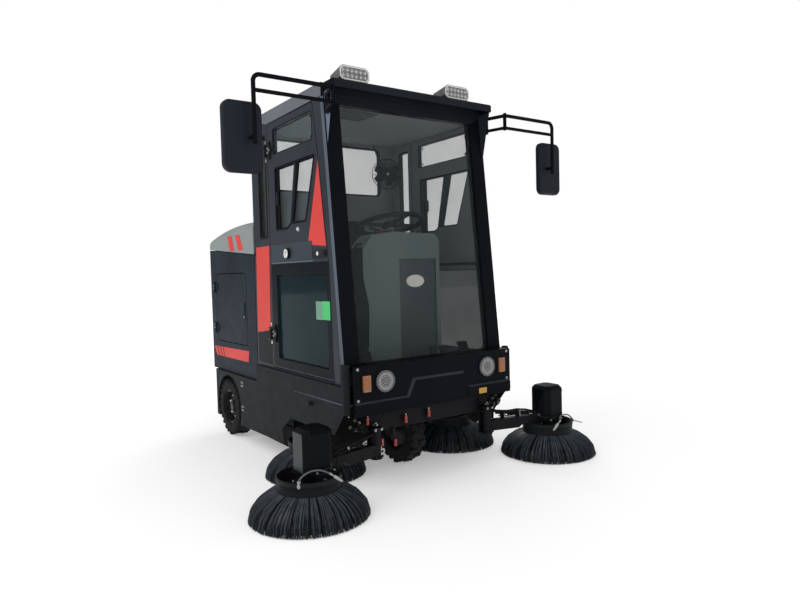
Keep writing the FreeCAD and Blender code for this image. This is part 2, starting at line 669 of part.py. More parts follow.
def rear_axle():
    """Axle tube hung from the rails, with the drive gear, its motor and the wheels' shaft."""
    y, z = REAR_WHEEL_Y, REAR_WHEEL_R
    tube = rod(V(-432, y, z), V(432, y, z), 34)
    reach = REAR_TYRE_OUT - 22
    shaft = rod(V(-reach, y, z), V(reach, y, z), REAR_SHAFT_R)
    gear = turned([(0, -70), (66, -70), (92, -34), (92, 34), (66, 70), (0, 70)], V(0, y, z), V(1, 0, 0))
    motor = rod(V(60, y, z), V(165, y, z), 62)
    hangers = both_sides(box(222, 258, y - 45, y + 45, z, RAIL_LOW))
    return fused([tube, shaft, gear, motor] + hangers)


def tread_ring(x, radius):
    """A closed line of one flat per side round the tyre, its flats at the radius given."""
    reach = radius / math.cos(math.pi / TREAD_FLATS)
    corners = []
    for i in range(TREAD_FLATS + 1):
        angle = 2 * math.pi * (i + 0.5) / TREAD_FLATS
        corners.append(V(x, reach * math.cos(angle), reach * math.sin(angle)))
    return Part.makePolygon(corners)


def tyre(radius, width, inner):
    """Solid tyre with two rows of slanted lugs, one row half a pitch on from the other."""
    half = width / 2.0
    base = radius - LUG_HEIGHT
    shoulders = [(-half, radius - 30), (-half + 12, base), (half - 12, base), (half, radius - 30)]
    body = Part.makeLoft([tread_ring(x, r) for x, r in shoulders], True, True)
    body = body.cut(rod(V(-half - 1, 0, 0), V(half + 1, 0, 0), inner))
    lugs = []
    for row in (-1, 1):
        for i in range(LUG_COUNT):
            lug = box(-half / 2.0 + 4, half / 2.0 - 3, -14, 14, -radius, -base + 12)
            lug.rotate(V(0, 0, 0), V(0, 0, 1), row * 14.0)
            lug.translate(V(row * half * 0.47, 0, 0))
            lug.rotate(V(0, 0, 0), V(1, 0, 0), 360.0 * (i + 0.25 * (1 + row)) / LUG_COUNT)
            lugs.append(lug)
    return body.fuse(lugs).removeSplitter()


def rim(radius, width, depth, shaft):
    """A dished wheel centre bored for its shaft, its open face toward the left."""
    half = width / 2.0
    bore = shaft + RUNNING
    profile = [(bore, -half + 12), (radius - 12, -half + 12), (radius, -half), (radius, half), (radius - 8, half),
               (radius - 14, half - depth), (44, half - depth), (38, half - depth + 22), (bore, half - depth + 22)]
    return turned(profile, V(0, 0, 0), V(1, 0, 0))


def moved(shape, x, y, z):
    placed = shape.copy()
    placed.translate(V(x, y, z))
    return placed


def steer_fork():
    """Crown with its kingpin, two legs and the wheel's shaft."""
    y, axle_z = FRONT_WHEEL_Y, FRONT_WHEEL_R
    crown = box(-84, 84, y - 45, y + 45, CROWN_LOW, CROWN_LOW + 14)
    leg = side_prism([(y - 24, axle_z), (y + 24, axle_z), (y + 40, CROWN_LOW + 1), (y - 40, CROWN_LOW + 1)], 66, 78)
    boss = rod(V(60, y, axle_z), V(84, y, axle_z), 30)
    shaft = rod(V(-80, y, axle_z), V(80, y, axle_z), FRONT_SHAFT_R)
    kingpin = rod(V(0, y, CROWN_LOW + 7), V(0, y, CROWN_LOW + 82), KINGPIN_R)
    return fused([crown, shaft, kingpin, leg, mirrored(leg), boss, mirrored(boss)])


# Brushes


def side_brush():
    """Drum with an open ring on top and a flared skirt of bristle bundles, about its own upright axis."""
    drum = turned([(0, 138), (132, 138), (138, DRUM_TOP), (DRUM_R, DRUM_TOP), (DRUM_R, DRUM_LOW), (0, DRUM_LOW)],
                  V(0, 0, 0), V(0, 0, 1))
    levels = [(DRUM_R - 1, DRUM_LOW + 2), (DRUM_R + 46, 112), (BRUSH_R - 40, 78), (BRUSH_R - 13, 42),
              (BRUSH_R, BRISTLE_TIP)]
    skirt = Part.makeLoft([bundle_outline(r, z) for r, z in levels], True, True)
    hollow = turned([(0, BRISTLE_TIP - 1), (BRUSH_R - 62, BRISTLE_TIP - 1), (BRUSH_R - 74, 40), (DRUM_R + 8, 98),
                     (100, DRUM_LOW + 3), (0, DRUM_LOW + 3)], V(0, 0, 0), V(0, 0, 1))
    hub = rod(V(0, 0, 130), V(0, 0, 196), 30)
    socket = rod(V(0, 0, 148), V(0, 0, 200), BRUSH_SHAFT_R + RUNNING)
    return fused([drum, skirt.cut(hollow), hub]).cut(socket)


def bundle_outline(radius, z):
    """A pleated ring that stands for the bristle bundles side by side."""
    count = 32
    corners = []
    for i in range(2 * count):
        reach = radius * (1.0 if i % 2 == 0 else 0.96)
        angle = math.pi * i / count
        corners.append(V(reach * math.cos(angle), reach * math.sin(angle), z))
    return Part.makePolygon(corners + corners[:1])


def front_arm():
    """Arm on the left side with the motor housing over the brush."""
    sleeve = rod(V(ARM_X, ARM_Y, 175), V(ARM_X, ARM_Y, 303), 24)
    bore = rod(V(ARM_X, ARM_Y, 170), V(ARM_X, ARM_Y, 310), PIN_R + RUNNING)
    reach = math.hypot(HOUSING_X - ARM_X, HOUSING_Y - ARM_Y)
    outline = [(10, 178), (200, 176), (240, 204), (reach, 204), (reach, 232), (240, 238), (60, 238), (10, 232)]
    beam = front_prism(outline, -20, 20)
    beam.rotate(V(0, 0, 0), V(0, 0, 1), math.degrees(math.atan2(HOUSING_Y - ARM_Y, HOUSING_X - ARM_X)))
    beam.translate(V(ARM_X, ARM_Y, 0))
    side = HOUSING_SIDE / 2.0
    housing = box(HOUSING_X - side, HOUSING_X + side, HOUSING_Y - side, HOUSING_Y + side, 210, HOUSING_TOP)
    housing = housing.makeChamfer(28, edges_along(housing, V(0, 0, 1), lambda m: True))
    housing = housing.makeChamfer(18, [e for e in housing.Edges if e.BoundBox.ZMin > HOUSING_TOP - 1])
    disc = rod(V(FRONT_BRUSH_X, FRONT_BRUSH_Y, 204), V(FRONT_BRUSH_X, FRONT_BRUSH_Y, 212), 75)
    shaft = rod(V(FRONT_BRUSH_X, FRONT_BRUSH_Y, 152), V(FRONT_BRUSH_X, FRONT_BRUSH_Y, 210), BRUSH_SHAFT_R)
    high = rod(V(ARM_X, ARM_Y, 290), V(HOUSING_X - side + 6, -30, 246), 8)
    arm = fused([sleeve, beam, housing, disc, shaft, high])
    return arm.cut(bore)


def inner_arm():
    x = INNER_BRUSH_X
    beam = box(x - 24, x + 24, INNER_BRUSH_Y, INNER_HINGE_Y, INNER_HINGE_Z - 14, INNER_HINGE_Z + 14)
    eye = rod(V(x - 32, INNER_HINGE_Y, INNER_HINGE_Z), V(x + 32, INNER_HINGE_Y, INNER_HINGE_Z), 20)
    bore = rod(V(x - 60, INNER_HINGE_Y, INNER_HINGE_Z), V(x + 60, INNER_HINGE_Y, INNER_HINGE_Z), PIN_R + RUNNING)
    motor = turned([(0, 204), (70, 204), (70, 212), (54, 212), (54, 380), (42, 392), (0, 392)],
                   V(x, INNER_BRUSH_Y, 0), V(0, 0, 1))
    shaft = rod(V(x, INNER_BRUSH_Y, 152), V(x, INNER_BRUSH_Y, 210), BRUSH_SHAFT_R)
    return fused([beam, eye, motor, shaft]).cut(bore)


def main_roller():
    core = rod(V(-ROLLER_X, 0, 0), V(ROLLER_X, 0, 0), 62)
    rows = []
    for i in range(10):
        row = box(-ROLLER_X + 5, ROLLER_X - 5, -13, 13, 55, ROLLER_R)
        row.rotate(V(0, 0, 0), V(1, 0, 0), 36.0 * i)
        rows.append(row)
    stubs = rod(V(-ROLLER_X - 31, 0, 0), V(ROLLER_X + 31, 0, 0), 18)
    return moved(fused([core, stubs] + rows), 0, ROLLER_Y, ROLLER_Z)


def roller_housing():
    outer = [(938, 120), (938, 250), (1020, 352), (1220, 352), (1302, 250), (1302, 120)]
    inner = [(942, 110), (942, 248), (1022, 348), (1218, 348), (1298, 248), (1298, 110)]
    hood = side_prism(outer, -392, 392).cut(side_prism(inner, -388, 388))
    lugs = [box(x - 20, x + 20, 1090, 1150, 351, RAIL_LOW) for x in (-240.0, 240.0)]
    hood = fused([hood] + lugs)
    return hood.cut(rod(V(-400, ROLLER_Y, ROLLER_Z), V(400, ROLLER_Y, ROLLER_Z), 18 + RUNNING))


def rubber_flaps():
    rear = box(-398, 398, 1302, 1308, 14, 190)
    front = box(-398, 398, 932, 938, 40, 190)
    sides = both_sides(box(392, 398, 940, 1300, 14, 150))
    return Part.Compound([rear, front] + sides)


# Doors


def cab_door():
    outline = DOOR_LINE + [(DOOR_REAR, DOOR_TOP), (DOOR_REAR, 548)]
    door = side_prism(outline, CAB_X - 28, CAB_X)
    upper = rounded_hole(322, 806, HIGH_WINDOW - 146, HIGH_WINDOW, 18, CAB_X - 40, CAB_X + 10)
    slide = side_prism([(300, 1690), (790, 1690), (790, 1338), (640, 1338), (600, 1362), (418, 1362)],
                       CAB_X - 40, CAB_X + 10)
    low = rounded_hole(208, 812, 600, 1088, 16, CAB_X - 40, CAB_X + 10)
    door = door.cut(Part.Compound([upper, slide, low]))
    bar = side_prism([(528, 1692), (550, 1692), (626, 1350), (604, 1350)], CAB_X - 20, CAB_X - 6)
    knob = rod(V(CAB_X - 2, 639, 1201), V(CAB_X + 18, 639, 1201), 28)
    handle = box(CAB_X - 2, CAB_X + 7, 208, 334, 1166, 1206)
    handle = handle.makeFillet(8, edges_along(handle, V(1, 0, 0), lambda m: True))
    pieces = [door, bar, knob, handle]
    bores = []
    for z in DOOR_HINGE_Z:
        pieces.append(rod(V(DOOR_HINGE_X, DOOR_HINGE_Y, z - 30), V(DOOR_HINGE_X, DOOR_HINGE_Y, z + 30), 9))
        pieces.append(plan_prism([(CAB_X - 1, DOOR_REAR - 50), (CAB_X + 3, DOOR_REAR - 50),
                                  (DOOR_HINGE_X - 3, DOOR_REAR - 6), (DOOR_HINGE_X - 3, DOOR_HINGE_Y),
                                  (CAB_X + 3, DOOR_HINGE_Y), (CAB_X + 3, DOOR_REAR), (CAB_X - 1, DOOR_REAR)],
                                 z - 22, z + 22))
        pieces.append(rod(V(CAB_X - 1, DOOR_REAR - 32, z), V(CAB_X + 11, DOOR_REAR - 32, z), 30))
        bores.append(rod(V(DOOR_HINGE_X, DOOR_HINGE_Y, z - 35), V(DOOR_HINGE_X, DOOR_HINGE_Y, z + 35),
                         HINGE_PIN_R + RUNNING))
    return fused(pieces).cut(bores)


def door_glass():
    upper = rounded_hole(323, 805, HIGH_WINDOW - 145, HIGH_WINDOW - 1, 17, CAB_X - 17, CAB_X - 11)
    slide = side_prism([(302, 1689), (789, 1689), (789, 1339), (640, 1339), (600, 1363), (419, 1363)],
                       CAB_X - 27, CAB_X - 22)
    low = rounded_hole(209, 811, 601, 1087, 15, CAB_X - 17, CAB_X - 11)
    return Part.Compound([upper, slide, low])


def main():
    os.makedirs("parts", exist_ok=True)
    raised = {
        "frame_rails": frame_rails(),
        "frame_crossmembers": frame_crossmembers(),
        "side_skirts": side_skirts(),
        "front_bumper": front_bumper(),
        "headlights": headlights(),
        "marker_lamps": marker_lamps(),
        "cab_front_frame": cab_front_frame(),
        "cab_sides": cab_sides(),
        "cab_rear_wall": cab_rear_wall(),
        "cab_floor": cab_floor(),
        "cab_headliner": cab_headliner(),
        "roof_panel": roof_panel(),
        "cab_glass": cab_glass(),
        "dash_console": dash_console(),
        "steering_wheel": steering_wheel(),
        "seat_base": seat_base(),
        "seat_cushions": seat_cushions(),
        "mirror_arms": mirror_arms(),
        "mirror_heads": mirror_heads(),
        "mirror_faces": mirror_faces(),
        "roof_lamps": roof_lamps(),
        "rear_body_sides": rear_body_sides(),
        "rear_body_ends": rear_body_ends(),
        "rear_body_floor": rear_body_floor(),
        "battery_pack": battery_pack(),
        "rear_lamps": rear_lamps(),
        "rear_hood": rear_hood(),
    }
    for name, shape in raised.items():
        export(name, shape, RISE)
    for name, shape in (("cab_door", cab_door()), ("door_glass", door_glass()), ("access_door", access_door())):
        export(name + "_left", shape, RISE)
        export(name + "_right", mirrored(shape), RISE)
    export("brush_brackets", brush_brackets())
    export("rear_axle", rear_axle())
    export("roller_housing", roller_housing())
    export("rubber_flaps", rubber_flaps())
    export("main_roller", main_roller())
    export("steer_fork", steer_fork())
    front_inner = FRONT_WHEEL_R - FRONT_TYRE_DEPTH
    front_tyre = tyre(FRONT_WHEEL_R, FRONT_TYRE_WIDTH, front_inner)
    front_rim = rim(front_inner, 76, 24, FRONT_SHAFT_R)
    export("front_tyre", moved(front_tyre, 0, FRONT_WHEEL_Y, FRONT_WHEEL_R))
    export("front_rim", moved(front_rim, 0, FRONT_WHEEL_Y, FRONT_WHEEL_R))
    rear_inner = REAR_WHEEL_R - REAR_TYRE_DEPTH
    rear_tyre = tyre(REAR_WHEEL_R, TYRE_WIDTH, rear_inner)
    rear_rim = rim(rear_inner, 92, 34, REAR_SHAFT_R)
    wheel_x = REAR_TYRE_OUT - TYRE_WIDTH / 2.0
    brush = side_brush()
    paired = {
        "rear_tyre": moved(rear_tyre, wheel_x, REAR_WHEEL_Y, REAR_WHEEL_R),
        "rear_rim": moved(rear_rim, wheel_x, REAR_WHEEL_Y, REAR_WHEEL_R),
        "front_arm": front_arm(),
        "inner_arm": inner_arm(),
        "front_brush": moved(brush, FRONT_BRUSH_X, FRONT_BRUSH_Y, 0),
        "inner_brush": moved(brush, INNER_BRUSH_X, INNER_BRUSH_Y, 0),
    }
    for name, shape in paired.items():
        export(name + "_left", shape)
        export(name + "_right", mirrored(shape))


main()
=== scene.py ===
import bpy
import bmesh
import math
import random
from mathutils import Vector, Matrix


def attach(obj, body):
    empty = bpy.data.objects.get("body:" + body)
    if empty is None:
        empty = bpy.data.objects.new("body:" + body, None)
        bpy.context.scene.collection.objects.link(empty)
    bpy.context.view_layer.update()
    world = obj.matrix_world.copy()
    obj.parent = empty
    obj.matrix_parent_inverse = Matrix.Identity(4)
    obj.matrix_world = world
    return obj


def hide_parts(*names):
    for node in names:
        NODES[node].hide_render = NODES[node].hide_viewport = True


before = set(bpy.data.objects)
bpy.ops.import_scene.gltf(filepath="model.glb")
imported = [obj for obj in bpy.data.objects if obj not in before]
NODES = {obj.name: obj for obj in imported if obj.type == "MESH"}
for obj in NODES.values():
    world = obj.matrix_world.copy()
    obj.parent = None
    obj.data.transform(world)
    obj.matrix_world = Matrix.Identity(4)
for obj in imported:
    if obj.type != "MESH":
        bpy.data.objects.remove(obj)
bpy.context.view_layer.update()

# Lengths are millimetres in the drawing's axes: X to the machine's left, Y to the rear from the
# bumper's front, Z up. P() turns them into metres in the row frame.
MID = 840.0  # Y of the row frame's origin
CAB_X = 530.7
SKIRT_X = 548.7
ROOF_LOW = 1962.0
ROOF_TOP = 2028.0
REAR_Y = 1957.0
FACE = CAB_X + 0.1  # where stripes and plates lie on the sheet
REAR_WHEEL = (496.0, 1620.0, 195.0)  # hub, as high as the tyre's radius
FRONT_WHEEL = (0.0, 371.0, 190.0)
LUGS = 12
FRONT_BRUSH = (783.0, -30.0)
INNER_BRUSH = (475.0, 502.0)
BRISTLE_TOP = 128.0
ROLLER_Y, ROLLER_Z = 1120.0, 165.0
HINGES_Z = (743, 1801)
KNOB_Y, KNOB_Z = 639, 1201
HEADLAMP_X, HEADLAMP_Z = 338, 550
MARKER_X = 446.5
ROOF_LAMP_X = 339
COLUMN_TOP = Vector((0, 424, 1356))
COLUMN_TILT = math.radians(13)
UPPER = [(322, 1768), (322, 1914), (806, 1914), (806, 1768)]
SLIDE = [(300, 1690), (790, 1690), (790, 1338), (640, 1338), (600, 1362), (418, 1362)]
LOWER = [(208, 600), (208, 1088), (812, 1088), (812, 600)]
SIDES = (("left", 1), ("right", -1))
OUT, AHEAD, BACK, UP = (1, 0, 0), (0, -1, 0), (0, 1, 0), (0, 0, 1)
scene = bpy.context.scene


def P(x, y, z):
    """A place of the drawing as a place of the row frame."""
    return Vector((x, y - MID, z)) / 1000.0


def rgb(r, g, b):
    """Screen colour, 0 to 255, as linear light."""
    out = []
    for c in (r, g, b):
        c /= 255.0
        out.append(c / 12.92 if c <= 0.04045 else ((c + 0.055) / 1.055) ** 2.4)
    return (out[0], out[1], out[2], 1.0)


def tone(colour, k):
    """The colour, lighter or darker by a factor."""
    return (min(colour[0] * k, 1), min(colour[1] * k, 1), min(colour[2] * k, 1), 1.0)


# Materials


class Graph:
    """A material's node tree with short calls to add and join nodes."""

    def __init__(self, name):
        self.mat = bpy.data.materials.new(name)
        self.mat.use_nodes = True
        self.tree = self.mat.node_tree
        self.bsdf = self.tree.nodes["Principled BSDF"]
        self.where = self.add("ShaderNodeTexCoord").outputs["Object"]

    def add(self, kind, **values):
        """A new node, with its settings or its inputs by name."""
        node = self.tree.nodes.new(kind)
        for key, value in values.items():
            if hasattr(node, key):
                setattr(node, key, value)
            else:
                node.inputs[key.replace("_", " ")].default_value = value
        return node

    def link(self, a, b):
        self.tree.links.new(a, b)

    def give(self, **values):
        """Sets inputs of the shader, to a value or from a socket."""
        for key, value in values.items():
            socket = self.bsdf.inputs[key.replace("_", " ")]
            if isinstance(value, bpy.types.NodeSocket):
                self.link(value, socket)
            else:
                socket.default_value = value

    def noise(self, scale, detail=3.0, rough=0.5):
        """A noise of the object's own coordinates, from 0 to 1."""
        node = self.add("ShaderNodeTexNoise", Scale=scale, Detail=detail, Roughness=rough)
        self.link(self.where, node.inputs["Vector"])
        return node.outputs["Fac"]

    def span(self, value, low, high, a=0.3, b=0.7):
        """Takes a value from between a and b to between low and high."""
        node = self.add("ShaderNodeMapRange", From_Min=a, From_Max=b, To_Min=low, To_Max=high)
        self.link(value, node.inputs["Value"])
        return node.outputs["Result"]

    def drift(self, value, colour, vary):
        """The colour a share darker to a share lighter, as the value goes."""
        node = self.add("ShaderNodeMix", data_type="RGBA")
        self.link(self.span(value, 0.0, 1.0), node.inputs[0])
        node.inputs[6].default_value = tone(colour, 1 - vary)
        node.inputs[7].default_value = tone(colour, 1 + vary)
        return node.outputs[2]

    def bump(self, height, strength):
        """Roughens the shader's normal by a height."""
        node = self.add("ShaderNodeBump", Strength=strength, Distance=0.0004)
        self.link(height, node.inputs["Height"])
        self.link(node.outputs["Normal"], self.bsdf.inputs["Normal"])


def paint(name, colour, rough=0.4, metallic=0.0, grain=900.0, strength=0.12, vary=0.14, coat=0.0,
          spec=0.5, cloud=3.0):
    """A coated surface: slow colour drift, fine grain in the bump and an uneven sheen."""
    g = Graph(name)
    g.give(Base_Color=g.drift(g.noise(cloud, 4.0), rgb(*colour), vary),
           Roughness=g.span(g.noise(cloud * 7.0, 5.0, 0.6), rough * 0.88, rough * 1.14),
           Metallic=metallic, Coat_Weight=coat, Coat_Roughness=0.2, Specular_IOR_Level=spec)
    g.bump(g.noise(grain, 2.0), strength)
    return g.mat


def glass(name, colour, alpha, rough=0.04, spec=0.45):
    """A tinted pane that lets light straight through in part."""
    g = Graph(name)
    smear = g.noise(4.0, 3.0)
    g.give(Base_Color=g.drift(smear, rgb(*colour), 0.15),
           Roughness=g.span(g.noise(9.0, 4.0), rough, rough * 2.2),
           Alpha=g.span(smear, alpha - 0.02, alpha + 0.02), Specular_IOR_Level=spec)
    return g.mat


def lens(name, colour, rough=0.15):
    """A glossy moulded lamp lens."""
    g = Graph(name)
    g.give(Base_Color=g.drift(g.noise(300.0, 2.0), rgb(*colour), 0.2),
           Roughness=g.span(g.noise(60.0), rough * 0.8, rough * 1.3),
           Coat_Weight=0.6, Coat_Roughness=0.08)
    return g.mat


CAB = paint("cab_charcoal", (44, 49, 56), 0.38, coat=0.02, spec=0.09)
PLATE = paint("door_plate", (50, 58, 67), 0.36, coat=0.02, spec=0.1)
PANE = paint("pane_border", (11, 18, 23), 0.34, spec=0.04)
BODY = paint("body_charcoal", (33, 41, 50), 0.44, vary=0.18, spec=0.04)
SKIRT = paint("skirt_charcoal", (32, 36, 39), 0.5, vary=0.12, spec=0.04)
BLACK = paint("satin_black", (13, 15, 20), 0.42, spec=0.04)
# Lighter black for the header and the roof's front faces: painted light, lifting faces that sit in
# the visor's shade
HEADER_LIT = paint("header_black_painted_light", (27, 30, 36), 0.45, spec=0.08)
# Painted highlight: lighter grey for the bumper's fold strip that faces up into the light
FOLD_HIGHLIGHT = paint("fold_painted_highlight", (46, 49, 53), 0.4, vary=0.2, spec=0.12)
# Painted highlight: pale bluish grey for the light-catching top of the cab's front cheek
GUSSET_HIGHLIGHT = paint("gusset_painted_highlight", (98, 112, 130), 0.34, vary=0.15, spec=0.3)
FRAME = paint("frame_black", (17, 18, 21), 0.5, vary=0.2, spec=0.12)
HOOD = paint("hood_grey", (132, 139, 139), 0.44, coat=0.08, vary=0.06, spec=0.25)
BAND = paint("roof_grey", (92, 97, 104), 0.4, coat=0.15, vary=0.08, spec=0.3)
# Painted highlight: bluish grey for chamfers, edge strips and small heads that catch the light
HIGHLIGHT_GREY = paint("painted_highlight_grey", (84, 93, 105), 0.32, coat=0.15, vary=0.1, spec=0.3)
RED = paint("stripe_red", (205, 66, 60), 0.45, vary=0.06, strength=0.05, spec=0.12)
PLASTIC = paint("moulded_black", (20, 22, 26), 0.55, grain=1500.0, strength=0.3, spec=0.2)
HOUSING = paint("housing_black", (9, 11, 14), 0.4, grain=1500.0, strength=0.2, spec=0.07)
# Painted light: a lighter copy of the housing black for the side that faces the light
HOUSING_LIT_SIDE = paint("housing_painted_lit_side", (44, 52, 56), 0.38, grain=1500.0, strength=0.2, spec=0.2)
MIRROR_SHELL = paint("mirror_shell", (27, 31, 40), 0.5, grain=1500.0, strength=0.2, spec=0.15)
CONSOLE = paint("console_grey", (100, 112, 113), 0.5, grain=300.0, strength=0.05, vary=0.07,
                spec=0.25)
CONSOLE_DARK = paint("console_recess", (70, 76, 80), 0.55, grain=300.0, strength=0.05, vary=0.07,
                     spec=0.2)
# Painted shade: dark colour for the console's side walls
SHADE = paint("console_painted_shade", (27, 32, 37), 0.6, grain=300.0, strength=0.05, spec=0.15)
TRIM = paint("inner_trim", (124, 128, 132), 0.7, grain=700.0, strength=0.15, vary=0.06, spec=0.2)
LINING = paint("headlining", (140, 144, 146), 0.85, grain=700.0, strength=0.4, vary=0.06)
MAT = paint("floor_mat", (32, 32, 33), 0.8, grain=500.0, strength=0.6, spec=0.2)
RUBBER = paint("black_rubber", (18, 18, 19), 0.75, grain=700.0, strength=0.3, spec=0.2)
TYRE = paint("tyre_rubber", (24, 24, 26), 0.78, grain=600.0, strength=0.35, vary=0.25, cloud=9.0,
             spec=0.18)
BRISTLE = paint("bristle", (27, 31, 37), 0.36, grain=300.0, strength=0.1, vary=0.4, cloud=30.0,
                spec=0.22)
# Painted shade: darker bristle colour for the inner rings and the cone under the bristles
BRISTLE_SHADE = paint("bristle_painted_shade", (11, 12, 15), 0.5, grain=300.0, strength=0.1, vary=0.3,
                     cloud=30.0, spec=0.1)
# Painted highlight: lighter bristle colour for a few strands that stand for highlight streaks
BRISTLE_HIGHLIGHT = paint("bristle_painted_highlight", (76, 84, 91), 0.36, grain=300.0, strength=0.1, vary=0.3,
                      cloud=30.0, spec=0.25)
RIM = paint("rim_black", (22, 22, 24), 0.42, coat=0.1, spec=0.3)
IRON = paint("cast_black", (30, 30, 31), 0.6, grain=500.0, strength=0.5, vary=0.25, spec=0.25)
SILVER = paint("silver_knob", (226, 226, 222), 0.24, metallic=0.3, vary=0.05, strength=0.05)
CHROME = paint("chrome", (205, 207, 210), 0.14, metallic=1.0, vary=0.04, strength=0.03)
STEEL = paint("bright_steel", (170, 172, 175), 0.3, metallic=1.0, vary=0.1, strength=0.1)
NOZZLE = paint("nozzle_grey", (160, 161, 158), 0.42, vary=0.16)
BRASS = paint("dull_brass", (112, 104, 80), 0.4, metallic=0.6, vary=0.2)
PIPE = paint("pipe_grey", (84, 90, 92), 0.3, vary=0.1)
LED_BODY = paint("led_silver", (138, 138, 137), 0.3, metallic=0.3, vary=0.12, strength=0.05,
                 cloud=40.0)
LED_DARK = paint("led_gap", (66, 67, 68), 0.4, vary=0.1)
LAMP_SHELL = paint("lamp_shell", (132, 135, 139), 0.2, metallic=0.9, vary=0.3, strength=0.05,
                   cloud=14.0)
MIRROR = paint("mirror_face", (225, 228, 230), 0.03, metallic=1.0, vary=0.01, strength=0.0)
VINYL = paint("seat_vinyl", (34, 34, 36), 0.55, grain=420.0, strength=0.5, spec=0.3)
LABEL_YELLOW = paint("blank_yellow", (186, 140, 52), 0.5, vary=0.08)
LABEL_GREEN = paint("blank_green", (56, 184, 100), 0.5, vary=0.1)
LABEL_SAGE = paint("blank_sage", (96, 144, 120), 0.4, vary=0.12)
LABEL_SILVER = paint("blank_silver", (214, 212, 206), 0.35, vary=0.05)
BADGE = paint("blank_badge", (244, 242, 236), 0.35, vary=0.03)
CLEAR_LENS = lens("clear_lens", (226, 228, 226))
AMBER = lens("amber_lens", (146, 88, 44))
RED_LENS = lens("red_lens", (168, 24, 20))
RED_CAP = lens("red_cap", (150, 40, 24), 0.4)
COVER_GLASS = glass("lamp_cover", (225, 228, 228), 0.08, 0.03)
SCREEN_GLASS = glass("screen_glass", (50, 60, 60), 0.19)
DOOR_GLASS = glass("door_glass", (84, 98, 100), 0.2)
LOW_GLASS = glass("low_door_glass", (22, 42, 47), 0.74, spec=0.05)

# The finish of each CAD node, by its name or by its name without the side
for mat, names in (
    (FRAME, "frame_rails frame_crossmembers brush_brackets rear_body_floor roller_housing"),
    (FRAME, "steer_fork"), (SKIRT, "side_skirts"), (BLACK, "front_bumper roof_panel mirror_arms"),
    (CAB, "cab_front_frame cab_sides cab_rear_wall cab_door"), (MAT, "cab_floor"),
    (LINING, "cab_headliner"), (SCREEN_GLASS, "cab_glass"), (DOOR_GLASS, "door_glass"),
    (CONSOLE, "dash_console"), (PLASTIC, "steering_wheel seat_base battery_pack"),
    (VINYL, "seat_cushions"), (MIRROR_SHELL, "mirror_heads"), (MIRROR, "mirror_faces"),
    (LED_BODY, "headlights"), (AMBER, "marker_lamps"), (LAMP_SHELL, "roof_lamps"),
    (RED_LENS, "rear_lamps"), (BODY, "rear_body_sides rear_body_ends access_door"),
    (HOOD, "rear_hood"), (IRON, "rear_axle"), (RUBBER, "rubber_flaps"),
    (BRISTLE, "main_roller front_brush inner_brush"), (HOUSING, "front_arm inner_arm"),
    (TYRE, "front_tyre rear_tyre"), (RIM, "front_rim rear_rim"),
):
    for name in names.split():
        for node in (name, name + "_left", name + "_right"):
            if node in NODES:
                NODES[node].data.materials.clear()
                NODES[node].data.materials.append(mat)


# Making pieces


def turns(count):
    """Angles evenly spaced round a full turn."""
    return [2 * math.pi * k / count for k in range(count)]


def wrap(rows, count, start=0, closed=False):
    """Quads that join rings of points, each ring with as many points."""
    faces = []
    for i in range(rows if closed else rows - 1):
        a, b = start + i * count, start + (i + 1) % rows * count
        faces += [[a + k, a + (k + 1) % count, b + (k + 1) % count, b + k] for k in range(count)]
    return faces


def ends(rows, count):
    """The two faces that close the first and the last of the rings."""
    last = (rows - 1) * count
    return [list(range(count))[::-1], list(range(last, last + count))]


def block(n):
    """The faces of a prism on n points: both ends and the sides."""
    return ends(2, n) + wrap(2, n)


def put(at, p, plane):
    """A flat point placed at an X or at a Y."""
    return (at, p[0], p[1]) if plane == "x" else (p[0], at, p[1])


def bevel(obj, width, segments, angle):
    """Rounds the edges of an object that are sharper than an angle."""
    mod = obj.modifiers.new("bevel", "BEVEL")
    mod.width = width / 1000.0
    mod.segments = segments
    mod.limit_method = "ANGLE"
    mod.angle_limit = math.radians(angle)


def show(name, data):
    """An object of a mesh, a lamp or a camera, put in the scene."""
    obj = bpy.data.objects.new(name, data)
    scene.collection.objects.link(obj)
    return obj


